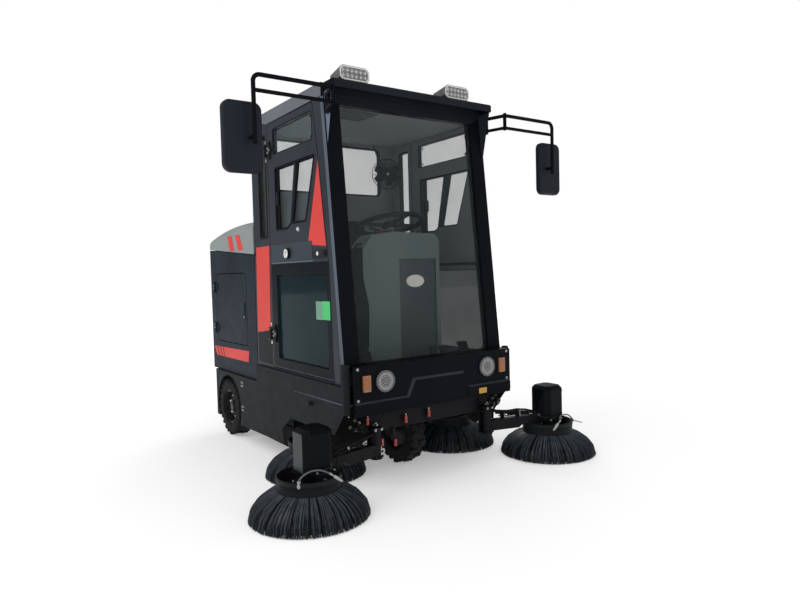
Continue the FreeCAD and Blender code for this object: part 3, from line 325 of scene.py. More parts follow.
class Piece:
    """Collects shapes in drawing millimetres and makes one object of them.

    Shapes are given for the machine's left, and a sign of -1 mirrors them to its right.
    """

    def __init__(self, name, body, mat, sign=1):
        self.name, self.body, self.sign = name, body, sign
        self.materials = [mat]
        self.bm = bmesh.new()

    def flip(self, p):
        """A point of the left on the piece's own side."""
        return (p[0] * self.sign, p[1], p[2])

    def add(self, points, faces, mat=None):
        """Faces on points that are on their own side already."""
        mat = mat or self.materials[0]
        if mat not in self.materials:
            self.materials.append(mat)
        verts = [self.bm.verts.new(P(*p)) for p in points]
        for f in faces:
            face = self.bm.faces.new([verts[i] for i in f])
            face.material_index = self.materials.index(mat)

    def prism(self, ring, shift, mat=None):
        """A flat ring of points and the same ring moved by a shift, joined."""
        far = [[p[i] + shift[i] for i in range(3)] for p in ring]
        self.add([self.flip(p) for p in list(ring) + far], block(len(ring)), mat)

    def box(self, x0, x1, y0, y1, z0, z1, mat=None):
        """A box along the axes."""
        ring = [(x0, y0, z0), (x1, y0, z0), (x1, y1, z0), (x0, y1, z0)]
        self.prism(ring, (0, 0, z1 - z0), mat)

    def slab(self, at, outline, depth, mat=None, plane="x"):
        """A flat outline at an X or a Y, with thickness."""
        self.prism([put(at, p, plane) for p in outline], put(depth, (0, 0), plane), mat)

    def rim(self, at, outer, inner, depth, mat=None, plane="x"):
        """A flat ring between two outlines of as many points, with thickness."""
        n = len(outer)
        points = [self.flip(put(x, p, plane))
                  for ring in (outer, inner) for x in (at, at + depth) for p in ring]
        faces = [[a * n + i, a * n + (i + 1) % n, b * n + (i + 1) % n, b * n + i]
                 for i in range(n) for a, b in ((0, 1), (1, 3), (3, 2), (2, 0))]
        self.add(points, faces, mat)

    def hoop(self, at, outer, inner, depth):
        """A band between two arcs, in short straight blocks."""
        for i in range(len(outer) - 1):
            self.slab(at, (outer[i], outer[i + 1], inner[i + 1], inner[i]), depth)

    def lathe(self, profile, centre, axis, segments=48, mat=None, closed=False):
        """Turns (radius, height) points about an axis through the centre."""
        axis = Vector(self.flip(axis)).normalized()
        side = axis.orthogonal().normalized()
        other = axis.cross(side)
        centre = Vector(self.flip(centre))
        points = []
        for r, h in profile:
            for a in turns(segments):
                ray = side * math.cos(a) + other * math.sin(a)
                points.append(centre + axis * h + ray * max(r, 0.001))
        faces = wrap(len(profile), segments, 0, closed)
        if not closed:
            faces += ends(len(profile), segments)
        self.add(points, faces, mat)

    def rod(self, a, b, radius, segments, mat=None):
        """A straight round rod from a to b."""
        run = Vector(b) - Vector(a)
        self.lathe([(radius, 0), (radius, run.length)], a, run, segments, mat)

    def tube(self, path, radius, segments=10, mat=None):
        """A round tube along a list of points, its section carried from point to point."""
        path = [Vector(self.flip(p)) for p in path]
        n = len(path)
        normal = None
        points = []
        for i in range(n):
            run = (path[min(i + 1, n - 1)] - path[max(i - 1, 0)]).normalized()
            if normal is None:
                normal = run.orthogonal().normalized()
            normal = (normal - run * normal.dot(run)).normalized()
            other = run.cross(normal)
            for a in turns(segments):
                points.append(path[i] + (normal * math.cos(a) + other * math.sin(a)) * radius)
        self.add(points, wrap(n, segments) + ends(n, segments), mat)

    def screw(self, centre, axis, radius, height, mat=None):
        """A domed hexagon-socket screw on a washer."""
        self.lathe([(radius * 1.5, 0), (radius * 1.5, 1.0), (radius, 1.0), (radius, height * 0.7),
                    (radius * 0.8, height), (radius * 0.45, height), (radius * 0.4, height * 0.5)],
                   centre, axis, 16, mat)

    def done(self, width=0.0, segments=2):
        """Makes the object, with its edges rounded by a width."""
        bmesh.ops.recalc_face_normals(self.bm, faces=self.bm.faces)
        mesh = bpy.data.meshes.new(self.name)
        self.bm.to_mesh(mesh)
        self.bm.free()
        for m in self.materials:
            mesh.materials.append(m)
        smooth(mesh, 32.0)
        obj = show(self.name, mesh)
        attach(obj, self.body)
        if width:
            bevel(obj, width, segments, 40)
        return obj


class Strands:
    """Collects many thin shapes, in millimetres about a place in the drawing."""

    def __init__(self):
        self.verts, self.faces, self.mats = [], [], []

    def rings(self, points, count, mat, caps=(), cap_mat=0):
        """Joins rings of as many points each, and closes those that caps counts."""
        start = len(self.verts)
        quads = wrap(len(points) // count, count, start)
        self.verts += points
        self.faces += quads + [range(start + c * count, start + (c + 1) * count) for c in caps]
        self.mats += [mat] * len(quads) + [cap_mat] * len(caps)

    def turned(self, profile, segments, mat, place=(0, 0)):
        """Turns (radius, Z) points about an upright axis."""
        self.rings([(place[0] + r * math.cos(a), place[1] + r * math.sin(a), z)
                    for r, z in profile for a in turns(segments)], segments, mat)

    def mesh(self, name, materials, angle, place):
        """The mesh of all shapes, put about a place in the drawing."""
        mesh = bpy.data.meshes.new(name)
        x, y, z = place
        mesh.from_pydata([P(x + p[0], y + p[1], z + p[2]) for p in self.verts], [], self.faces)
        for m in materials:
            mesh.materials.append(m)
        mesh.polygons.foreach_set("material_index", self.mats)
        smooth(mesh, angle)
        return mesh


def smooth(mesh, angle=None):
    """Shades a mesh smooth, apart from the edges sharper than an angle."""
    mesh.polygons.foreach_set("use_smooth", [True] * len(mesh.polygons))
    if angle:
        mesh.set_sharp_from_angle(angle=math.radians(angle))


def arc(u, v, radius, start, end, steps):
    """Flat points along an arc, in degrees."""
    turns = [math.radians(start + (end - start) * i / steps) for i in range(steps + 1)]
    return [(u + radius * math.cos(a), v + radius * math.sin(a)) for a in turns]


def rounded(u0, u1, v0, v1, radius, steps):
    """A rounded rectangle's flat outline."""
    out = []
    for u, v, turn in ((u1 - radius, v1 - radius, 0), (u0 + radius, v1 - radius, 90),
                       (u0 + radius, v0 + radius, 180), (u1 - radius, v0 + radius, 270)):
        out += arc(u, v, radius, turn, turn + 90, steps)
    return out


def softened(points, radius, steps=5):
    """A flat polygon with its corners rounded."""
    out = []
    n = len(points)
    for i in range(n):
        a, b, c = (Vector(points[(i + k) % n]) for k in (-1, 0, 1))
        before, after = (a - b).normalized(), (c - b).normalized()
        half = before.angle(after) / 2.0
        cut = min(radius / math.tan(half), (a - b).length * 0.45, (c - b).length * 0.45)
        start, end = b + before * cut, b + after * cut
        for k in range(steps + 1):
            t = k / steps
            out.append(tuple(start * (1 - t) ** 2 + b * 2 * t * (1 - t) + end * t ** 2))
    return out


def inset(ring, amount):
    """A flat outline drawn in along its corners, or out where the amount is negative."""
    area = sum(a[0] * b[1] - b[0] * a[1] for a, b in zip(ring, ring[1:] + ring[:1]))
    reach = amount if area > 0 else -amount
    n = len(ring)
    out = []
    for i in range(n):
        before, here, after = (Vector(ring[(i + k) % n]) for k in (-1, 0, 1))
        a, b = (here - before).normalized(), (after - here).normalized()
        normal = Vector((a.y, -a.x))
        mitre = normal + Vector((b.y, -b.x))
        mitre = (mitre if mitre.length > 1e-6 else normal).normalized()
        out.append(tuple(here - mitre * (reach / max(mitre.dot(normal), 0.4))))
    return out


def between(a, b, t):
    """The point a share of the way from one point to another."""
    return tuple(p + (q - p) * t for p, q in zip(a, b))


def seal(piece, ring, outside, inside, depth, depth_inside, mat):
    """A frame round a window on both faces of a cab wall, over the hole's edge."""
    outer, inner = inset(ring, -outside), inset(ring, inside)
    for x, deep in ((CAB_X - 1.0, depth), (CAB_X - 27.6, depth_inside)):
        piece.rim(x, outer, inner, deep, mat)


# Camera, at the photograph's place and angle
YAW, PITCH, ROLL = math.radians(35.00895), math.radians(-2.50239), math.radians(-1.47841)
EYE = (-2.03665, -2.56991 - MID / 1000.0, 1.08089)
FOCAL, PHOTO_WIDTH, SENSOR = 630.657, 800.0, 36.0
ahead = Vector((math.sin(YAW) * math.cos(PITCH), math.cos(YAW) * math.cos(PITCH),
                math.sin(PITCH)))
level = Vector((math.cos(YAW), -math.sin(YAW), 0))
upward = level.cross(ahead)
across = level * math.cos(ROLL) + upward * math.sin(ROLL)
above = upward * math.cos(ROLL) - level * math.sin(ROLL)
view = bpy.data.cameras.new("camera")
view.sensor_width = SENSOR
view.lens = FOCAL * SENSOR / PHOTO_WIDTH
view.clip_end = 200.0
camera = show("camera", view)
camera.matrix_world = Matrix((
    (across.x, above.x, -ahead.x, EYE[0]),
    (across.y, above.y, -ahead.y, EYE[1]),
    (across.z, above.z, -ahead.z, EYE[2]),
    (0, 0, 0, 1),
))
scene.camera = camera

# Floor, world and lamps
scene.view_settings.view_transform = "Standard"


def pale_floor():
    """A plain floor that glows a little more with distance, so that no horizon shows."""
    bm = bmesh.new()
    bmesh.ops.create_grid(bm, x_segments=1, y_segments=1, size=30.0)
    mesh = bpy.data.meshes.new("floor")
    bm.to_mesh(mesh)
    bm.free()
    obj = show("floor", mesh)
    g = Graph("floor_white")
    away = g.add("ShaderNodeVectorMath", operation="LENGTH")
    g.link(g.where, away.inputs[0])
    g.give(Base_Color=(0.82, 0.82, 0.82, 1), Emission_Color=(1, 1, 1, 1),
           Emission_Strength=g.span(away.outputs["Value"], 0.3, 0.62, 2.6, 7.0),
           Roughness=0.9, Specular_IOR_Level=0.1)
    mesh.materials.append(g.mat)


pale_floor()
world = bpy.data.worlds.new("studio")
scene.world = world
world.use_nodes = True
tree = world.node_tree
background = tree.nodes["Background"]
ray = tree.nodes.new("ShaderNodeLightPath").outputs


def arithmetic(kind, a, b):
    """One sum in the world's tree, of sockets or plain numbers."""
    node = tree.nodes.new("ShaderNodeMath")
    node.operation = kind
    for value, socket in ((a, node.inputs[0]), (b, node.inputs[1])):
        if isinstance(value, float):
            socket.default_value = value
        else:
            tree.links.new(value, socket)
    return node.outputs[0]


# White where it is seen, a little less as light, and dimmer still in reflections
seen = arithmetic("MAXIMUM", ray["Is Camera Ray"], ray["Is Transmission Ray"])
lit = arithmetic("SUBTRACT", 0.78, arithmetic("MULTIPLY", ray["Is Glossy Ray"], 0.43))
tree.links.new(arithmetic("MAXIMUM", seen, lit), background.inputs["Strength"])
background.inputs["Color"].default_value = (1, 1, 1, 1)

for name, place, target, size, power in (
    ("key", (-4.3, -0.2, 4.2), (0, 0, 0.8), (3.0, 3.0), 66),
    ("fill", (1.5, -5.5, 2.6), (0, 0, 0.9), (3.5, 2.5), 14),
    ("rim", (3.5, 4.0, 3.5), (0, 0, 1.0), (3.0, 3.0), 60),
):
    lamp = bpy.data.lights.new(name, "AREA")
    lamp.shape = "RECTANGLE"
    lamp.size, lamp.size_y = size
    lamp.energy = power
    obj = show(name, lamp)
    obj.location = place
    obj.rotation_euler = (Vector(target) - Vector(place)).to_track_quat("-Z", "Y").to_euler()


# Brushes


def brush_mesh():
    """Ring drum with its disc, a dark cone under the bristles as painted shade, and several
    thousand curved bristles, inner rings in painted shade and a few outer strands as painted
    highlights, about the origin.
    """
    # Material slots: deep is the painted-shade bristle colour, bright the painted-highlight one
    drum, bristle, steel, deep, bright = range(5)
    made = Strands()
    made.turned([(13, 150), (28, 150), (30, 152), (30, 194), (28, 196), (13, 196), (13, 150)],
                32, drum)
    made.turned([(30, 140), (130, 140), (132, 143), (136, 188), (138, 190), (144, 190), (146, 188),
                 (146, 168), (144, 166), (143, 134), (146, 132), (146, 126), (143, 124),
                 (30, 124), (30, 140)], 72, drum)
    # Dark cone under the bristles so that no floor shows between strands: painted shade
    made.turned([(112, 126), (158, 108), (204, 76), (236, 42), (252, 10), (246, 10), (228, 42),
                 (196, 72), (152, 103), (106, 122), (112, 126)], 64, deep)
    for a in turns(6):
        made.turned([(9, 140), (9, 146), (7, 148), (0.01, 148)], 10, steel,
                    (84 * math.cos(a), 84 * math.sin(a)))
    draw = random.Random(3)
    steps = 4
    outer = 140
    for root, tufts, each, tip in ((outer, 66, 26, 275), (128, 62, 17, 266), (112, 50, 10, 244),
                                   (98, 38, 7, 222)):
        for t in range(tufts):
            base = 2 * math.pi * (t + 0.5 * (root % 3)) / tufts + draw.gauss(0, 0.006)
            for strand in range(each):
                # The first six strands of each outer tuft are painted highlights, lighter and
                # slightly arched
                light = root == outer and strand < 6
                a = base + draw.gauss(0, 0.022 if light else 0.020)
                r0 = root + (4 if light else draw.uniform(-4, 3))
                lean = draw.gauss(0.0, 0.012 if light else 0.022)
                reach = tip - abs(draw.gauss(0, 5.0)) - draw.uniform(0, 2.0)
                fall = BRISTLE_TOP - draw.uniform(1.5, 4.5)
                wide = 0.8 if light else draw.uniform(1.0, 1.6)
                arch = 2.2 if light else 0.0
                points = []
                for i in range(steps + 1):
                    s = i / steps
                    r = r0 + (reach - r0) * math.sin(math.pi / 2 * s)
                    z = BRISTLE_TOP - fall * s ** 1.3 + arch * math.sin(math.pi * s)
                    turn = a + lean * s * s
                    w = wide * (1.0 - 0.15 * s)
                    c, d = math.cos(turn), math.sin(turn)
                    for b in turns(3):
                        u, v = w * math.cos(b + 0.5), w * math.sin(b + 0.5)
                        points.append((c * (r + v) - d * u, d * (r + v) + c * u, z + v * 0.6))
                # Outer ring in the plain bristle colour, inner rings in painted shade, highlight
                # strands in painted highlight
                mat = bright if light else bristle if root == outer else deep
                made.rings(points, 3, mat, (steps,), bristle)
    return made.mesh("brush_dress", (PLASTIC, BRISTLE, STEEL, BRISTLE_SHADE, BRISTLE_HIGHLIGHT), 50,
                     (0, MID, 0))


brush = brush_mesh()
for side, sign in SIDES:
    for kind, (x, y) in (("front_brush_", FRONT_BRUSH), ("inner_brush_", INNER_BRUSH)):
        obj = show(kind + side + "_bristles", brush)
        obj.location = P(sign * x, y, 0)
        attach(obj, kind + side)
        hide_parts(kind + side)


# Where CAD pieces carry more than one finish, and where some faces take painted highlights or
# painted shade


def tint(node, mat, test):
    """Gives another finish to the faces that pass a test, by their middle and their normal."""
    mesh = NODES[node].data
    mesh.materials.append(mat)
    for face in mesh.polygons:
        c = face.center * 1000.0
        if test(c.x, c.y + MID, c.z, face.normal):
            face.material_index = len(mesh.materials) - 1


def soften(node, width):
    """Rounds a CAD piece's sharp edges a little, so that they catch the light."""
    obj = NODES[node]
    smooth(obj.data)
    obj.modifiers.new("weld", "WELD").merge_threshold = 0.00001
    flat = obj.modifiers.new("flat", "DECIMATE")
    flat.decimate_type = "DISSOLVE"
    flat.angle_limit = math.radians(0.6)
    flat.delimit = {"MATERIAL"}
    bevel(obj, width, 2, 30)
    obj.modifiers.new("even", "WEIGHTED_NORMAL").weight = 100


for node, mat, test in (
    ("cab_front_frame", BLACK, lambda x, y, z, n: n.y < -0.8 or abs(x) < 500),
    # Header faces: the lighter black, as painted light
    ("cab_front_frame", HEADER_LIT, lambda x, y, z, n: n.y < -0.8 and abs(x) < 480 and z > 1800),
    # Outer cheek faces at the top by the gusset: painted highlight
    ("cab_front_frame", GUSSET_HIGHLIGHT,
     lambda x, y, z, n: n.x * x > 0 and abs(n.x) > 0.9 and 508 < abs(x) < 520 and z > 1722),
    # Roof front faces: the same painted-light black
    ("roof_panel", HEADER_LIT, lambda x, y, z, n: n.y < -0.5),
    # Bumper fold faces tilted upward: painted highlight
    ("front_bumper", FOLD_HIGHLIGHT, lambda x, y, z, n: -0.95 < n.y < -0.4 and n.z > 0.15),
    # Pillar chamfer faces: painted highlight strips
    ("cab_front_frame", HIGHLIGHT_GREY,
     lambda x, y, z, n: -0.8 <= n.y < -0.3 and abs(x) > 505 and abs(n.x) > 0.3),
    ("cab_sides", BAND, lambda x, y, z, n: z > ROOF_LOW and abs(n.x) > 0.5),
    ("roof_panel", BAND, lambda x, y, z, n: abs(n.x) > 0.9 and abs(x) > 528 and y > 218),
    ("headlights", LED_DARK,
     lambda x, y, z, n: y < 2 and math.hypot(abs(x) - HEADLAMP_X, z - HEADLAMP_Z) < 60),
    ("roof_lamps", LED_DARK, lambda x, y, z, n: n.y < -0.9 and y > 206.5 and z > 2062),
    ("roof_lamps", PLASTIC, lambda x, y, z, n: z < 2053),
    ("dash_console", CONSOLE_DARK,
     lambda x, y, z, n: -24 < x < 230 and 291 < y < 309 and z < 1157),
    # Console side walls: painted shade
    ("dash_console", SHADE, lambda x, y, z, n: abs(n.x) > 0.85 and abs(x) > 120),
    ("cab_rear_wall", TRIM, lambda x, y, z, n: n.y < -0.9),
    ("cab_sides", TRIM, lambda x, y, z, n: abs(x) < 505 and abs(n.x) > 0.9),
    ("cab_floor", CONSOLE_DARK, lambda x, y, z, n: y < 117 and z > 531),
    # Side faces of the right arm's housing toward the light: painted light
    ("front_arm_right", HOUSING_LIT_SIDE,
     lambda x, y, z, n: n.x < -0.95 and abs(x) > 704 and z > 215),
    ("steer_fork", IRON, lambda x, y, z, n: z < 260),
):
    tint(node, mat, test)
for side, sign in SIDES:
    for node, mat, test in (
        ("cab_door_", PLASTIC, lambda x, y, z, n: abs(x) > 531 and abs(y - KNOB_Y) < 30
         and abs(z - KNOB_Z) < 30),
        ("cab_door_", PLASTIC,
         lambda x, y, z, n: abs(x) > 531 and 205 < y < 338 and 1160 < z < 1210),
        ("cab_door_", PLASTIC, lambda x, y, z, n: abs(x) > 531 and y > 815
         and min(abs(z - h) for h in HINGES_Z) < 60),
        ("cab_door_", TRIM, lambda x, y, z, n: abs(x) < 504 and abs(n.x) > 0.9),
        ("door_glass_", LOW_GLASS, lambda x, y, z, n: z < 1150),
        ("front_arm_", FRAME, lambda x, y, z, n: z < 300 and abs(x) < 700),
        ("inner_arm_", FRAME, lambda x, y, z, n: y > 580),
    ):
        tint(node + side, mat, test)
for width, names in (
    (0.8, "rubber_flaps"), (0.9, "side_skirts rear_body_sides rear_body_ends"),
    (1.0, "cab_floor cab_rear_wall"), (1.2, "front_bumper roller_housing"),
    (1.2, "access_door_left access_door_right"),
    (1.5, "marker_lamps rear_lamps brush_brackets frame_crossmembers steer_fork"),
    (1.6, "cab_front_frame cab_sides roof_panel cab_door_left cab_door_right"),
    (2.0, "seat_base frame_rails front_arm_left front_arm_right inner_arm_left"),
    (2.0, "inner_arm_right"), (2.5, "mirror_heads"), (5.0, "dash_console"),
):
    for node in names.split():
        soften(node, width)

bpy.context.view_layer.update()


def front_of(node, x, z):
    """Drawing Y where a line from the front first meets a node."""
    start = -200.0
    hit, place = NODES[node].ray_cast(P(x, start, z), Vector(BACK))[:2]
    return place.y * 1000.0 + MID if hit else start


# Stripes, windows and hardware of the cab's sides


def cab_door(side, sign):
    """Stripe, window seals, pane border, knob, lock, hinges and grab bar of a cab door."""
    door = "cab_door_" + side
    stripe = Piece("door_stripe_" + side, door, RED, sign)
    stripe.slab(FACE, ((267, 1654), (402, 1238), (207, 1222)), 0.8)
    stripe.done()
    seals = Piece("window_seals_" + side, door, BLACK, sign)
    for points, radius in ((UPPER, 18), (LOWER, 16)):
        seal(seals, softened(points, radius), 2.5, 4.0, 2.0, 2.0, RUBBER)
    seal(seals, softened(SLIDE, 14), 3.0, 8.0, 3.0, 2.6, BLACK)
    seals.slab(CAB_X - 12, ((491, 1684), (527, 1684), (612, 1344), (576, 1370)), 9)
    seals.slab(CAB_X - 10, ((745, 1684), (779, 1684), (779, 1344), (745, 1344)), 6)
    seals.slab(CAB_X - 4, ((746, 1477), (766, 1477), (766, 1551), (746, 1551)), 12, PLASTIC)
    seals.done(0.8)
    border = Piece("pane_border_" + side, door, PANE, sign)
    outer = softened([(172, 556), (190, 1146), (874, 1146), (874, 556)], 6)
    border.rim(FACE, outer, softened(LOWER, 16), 0.8)
    # Thin strip along the plate's lower edge in the painted-highlight grey
    border.slab(FACE, ((352, 1150), (874, 1150), (874, 1156), (352, 1156)), 1.6, HIGHLIGHT_GREY)
    border.done(0.3, 1)
    metal = Piece("door_hardware_" + side, door, PLASTIC, sign)
    plate = softened([(357, 1161), (357, 1257), (602, 1257), (878, 1257), (878, 1161)], 3, 2)
    metal.slab(CAB_X + 0.05, plate, 2.2, PLATE)
    metal.screw((CAB_X, 511, 1327), OUT, 9, 9, SILVER)
    metal.lathe([(13, 0), (13, 2), (10, 2.6), (10, 2.0)], (CAB_X, 511, 1327), OUT, 24, STEEL)
    knob = Vector((CAB_X + 18, KNOB_Y, KNOB_Z))
    metal.lathe([(29.6, -18), (29.6, -8), (28.6, 0.4), (26, 0.8)], knob, OUT, 40)
    metal.lathe([(25.4, 0), (25.2, 2.4), (23, 4.2), (12, 5.6), (5, 5.9)], knob, OUT, 40, SILVER)
    for k in range(3):
        a = math.radians(20 + 120 * k)
        run = Vector((0, math.cos(a), math.sin(a)))
        edge = Vector((0, -run.z, run.y)) * 1.5
        near, far = (knob + run * d + Vector((h, 0, 0)) for d, h in ((5, 5.0), (23.5, 3.0)))
        metal.prism([near - edge, far - edge, far + edge, near + edge], (1.8, 0, 0))
    metal.lathe([(11, 0), (11, 1.8), (9.5, 2.6), (4, 2.8), (3.5, 1.6)], (CAB_X + 7, 288, 1188),
                OUT, 28, SILVER)
    metal.box(CAB_X + 7, CAB_X + 9.4, 218, 262, 1178, 1196)
    for z in HINGES_Z:
        for k in range(3):
            a = math.radians(60 + 120 * k)
            spot = (CAB_X + 10.6, 851 + math.cos(a) * 14, z + math.sin(a) * 14)
            metal.screw(spot, OUT, 4.8, 3.4, STEEL)
        metal.lathe([(31, 0), (31, 6), (27, 9.6), (23, 10.6), (21, 10.0)], (CAB_X, 850, z),
                    OUT, 36)
        for low in (-50, 28):
            metal.slab(FACE, rounded(836, 874, z + low, z + low + 22, 6, 3), 9)
    for rows, columns in (((352, 776), (1790, 1892)), ((240, 780), (622, 1066))):
        for y in rows:
            for z in columns:
                metal.lathe([(7.5, 0), (7.5, 1.2), (4.5, 3.0)], (519.8, y, z), OUT, 16)
    for y in (236, 784):
        metal.slab(502.0, rounded(y - 9, y + 9, 1104, 1140, 4, 2), -16)
    metal.tube([(488, 236, 1122), (470, 250, 1122), (466, 300, 1124), (466, 720, 1124),
                (470, 770, 1122), (488, 784, 1122)], 8)
    metal.done(0.7)


def rear_post(side, sign):
    """Stripe, window seal and hinge leaves on the post behind a cab door."""
    post = Piece("post_dress_" + side, "chassis", PLASTIC, sign)
    post.slab(FACE, ((905, 757), (1108, 734), (1108, 556), (905, 556)), 0.6, PANE)
    post.slab(FACE, ((900, 1256), (1096, 1255), (1115, 737), (923, 760)), 0.8, RED)
    window = softened([(914, 1303), (914, 1900), (1027, 1900), (1027, 1303)], 14)
    seal(post, window, 4.0, 7.0, 2.6, 2.6, RUBBER)
    for z in HINGES_Z:
        post.slab(FACE, rounded(893, 908, z - 62, z + 62, 3, 2), 3.4, CHROME)
        for dz in (-46, -16, 16, 46):
            post.screw((CAB_X + 3, 900.5, z + dz), OUT, 4.4, 3.0, STEEL)
    post.screw((CAB_X + 0.2, 1120, 1212), OUT, 7, 4)
    for z in (600, 1290, 1940):
        post.lathe([(4.5, 0), (4.5, 1.2), (3, 2)], (CAB_X, 1112, z), OUT, 14)
    post.done(0.6)


def sticker():
    """Two blank stickers inside the right door's lower window."""
    note = Piece("blank_sticker_right", "cab_door_right", LABEL_GREEN, -1)
    note.slab(CAB_X + 1.7, rounded(182, 262, 852, 946, 3, 2), 0.6)
    note.slab(CAB_X + 1.7, rounded(262.4, 331, 850, 944, 3, 2), 0.5, LABEL_SAGE)
    note.done()


for side, sign in SIDES:
    cab_door(side, sign)
    rear_post(side, sign)
sticker()


# Rear body, hood and skirts


def rear_side(side, sign):
    """Stripes, screws, tie-down, skirt lines, arch lip and door latch of the rear body."""
    band = Piece("body_stripe_" + side, "chassis", RED, sign)
    top, low = ((1928, 589), (1274, 602)), ((1882, 525), (1288, 531))
    for a, b in ((0.0, 0.075), (0.095, 0.165), (0.185, 0.255), (0.275, 1.0)):
        band.slab(FACE, [between(*top, a), between(*top, b), between(*low, b), between(*low, a)],
                  0.8)
    band.done()
    hood = Piece("hood_stripe_" + side, "rear_hood", RED, sign)
    hood.slab(FACE, ((1591, 1352), (1507, 1352), (1471, 1250), (1550, 1250)), 0.8)
    hood.slab(FACE, ((1449, 1352), (1369, 1352), (1316, 1250), (1398, 1250)), 0.8)
    hood.done()
    bits = Piece("rear_side_bits_" + side, "chassis", PLASTIC, sign)
    for y, z in ((1912, 1022), (1912, 1000), (1914, 745), (1914, 723)):
        bits.screw((CAB_X, y, z), OUT, 4.6, 3.4, STEEL)
    for y in (1150, 1945):
        for z in (470, 640, 900, 1160):
            bits.lathe([(5, 0), (5, 1), (3.4, 2.2)], (CAB_X, y, z), OUT, 14)
    for y in (1362, 1384):
        for z in (391, 369, 232, 210):
            bits.screw((SKIRT_X, y, z), OUT, 4.6, 3.4, STEEL)
    bits.lathe([(17, 0), (17, 2), (13, 4), (9, 5), (8, 13), (12, 15), (12, 21), (10, 23)],
               (SKIRT_X, 388, 409), OUT, 24)
    bits.box(SKIRT_X + 14, SKIRT_X + 21, 366, 410, 404, 414)
    bits.done(0.6)
    lip = Piece("skirt_lip_" + side, "chassis", SKIRT, sign)
    # Skirt seam line in the painted-highlight grey
    lip.slab(SKIRT_X, ((60, 449), (588, 445), (588, 446.5), (60, 452.5)), 1.4, HIGHLIGHT_GREY)
    lip.slab(SKIRT_X - 2, ((74, 531), (1128, 531), (1128, 535.2), (74, 535.2)), 3.2)
    outer, inner = (arc(*REAR_WHEEL[1:], r, 12, 153, 40) for r in (218.5, 214.0))
    lip.hoop(SKIRT_X - 3, outer, inner, 4.4)
    lip.done(0.5)
    latch = Piece("access_latch_" + side, "access_door_" + side, BODY, sign)
    latch.slab(FACE, rounded(1312, 1346, 800, 916, 8, 3), 2.6)
    latch.slab(CAB_X + 2.6, rounded(1318, 1340, 832, 908, 5, 3), 2.4)
    latch.lathe([(6.5, 0), (6.5, 2.2), (5.5, 3), (2, 3), (2, 1.6)], (CAB_X + 2.6, 1329, 818),
                OUT, 20, STEEL)
    latch.done(0.6)


def wheel_well(side, sign):
    """Dark liner over a rear wheel and the ledge between the body's sheet and the skirt."""
    well = Piece("wheel_well_" + side, "chassis", PLASTIC, sign)
    outer, inner = (arc(*REAR_WHEEL[1:], r, -24, 200, 44) for r in (220, 217))
    well.hoop(432, outer, inner, 113)
    well.slab(432, arc(*REAR_WHEEL[1:], 218, 11, 169, 30), 3)
    well.box(528, 546, 1132, 1868, 427.2, 430.6)
    well.done()


for side, sign in SIDES:
    rear_side(side, sign)
for side, sign in SIDES:
    wheel_well(side, sign)


# Wheels and main roller


def detailed_tyre(name, body, middle, width, inner):
    """Smooth carcass with side ribs and two rows of bevelled lugs, in the solid tyre's place."""
    radius = middle[2]
    half = width / 2.0
    base = radius - 9.0
    tyre = Piece(name + "_dress", body, TYRE)
    profile = [(inner + 0.5, -half + 6), (inner + 4, -half + 2), (inner + 14, -half + 1.2),
               (inner + 16, -half + 0.2), (inner + 20, -half + 0.2), (inner + 22, -half + 1.2),
               (radius - 40, -half + 1.0), (radius - 30, -half + 0.4), (base - 12, -half + 5),
               (base - 4, -half + 10), (base, -half + 16)]
    profile += [(r, -x) for r, x in reversed(profile)]
    tyre.lathe(profile, middle, OUT, 96, closed=True)

    def on_tread(x, r, a):
        return (middle[0] + x, middle[1] - r * math.sin(a), middle[2] - r * math.cos(a))

    skew = math.radians(14.0)
    for row in (-1, 1):
        c, d = math.cos(row * skew), math.sin(row * skew)
        for k in range(LUGS):
            turn = 2 * math.pi * (k + 0.25 * (1 + row)) / LUGS
            for x0, x1, reach, high in ((-half / 2 + 4, half / 2 - 3, 14, radius - 0.4),
                                        (half / 2 - 3, half / 2 + 1, 11, radius - 14)):
                ring = [(x * row * c - y * d + row * half * 0.47, x * row * d + y * c)
                        for x, y in ((x0, -reach), (x1, -reach), (x1, reach), (x0, reach))]
                tyre.add([on_tread(x, r, turn + y * grip / radius)
                          for r, grip in ((base - 16, 1.0), (high, 1.0 if high < base else 0.9))
                          for x, y in ring], block(4))
        for k in range(2 * LUGS):
            turn = math.pi * (k + 0.5 * (row > 0)) / LUGS
            tyre.add([on_tread(row * x, r, turn + y / r)
                      for r, x0, grip in ((base - 26, half - 14, 12.0),
                                          (radius - 7, half - 17, 10.0))
                      for x, y in ((x0, -grip), (half - 0.8, -grip), (half - 0.8, grip),
                                   (x0, grip))], block(4))
    obj = tyre.done(1.2)
    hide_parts(name)


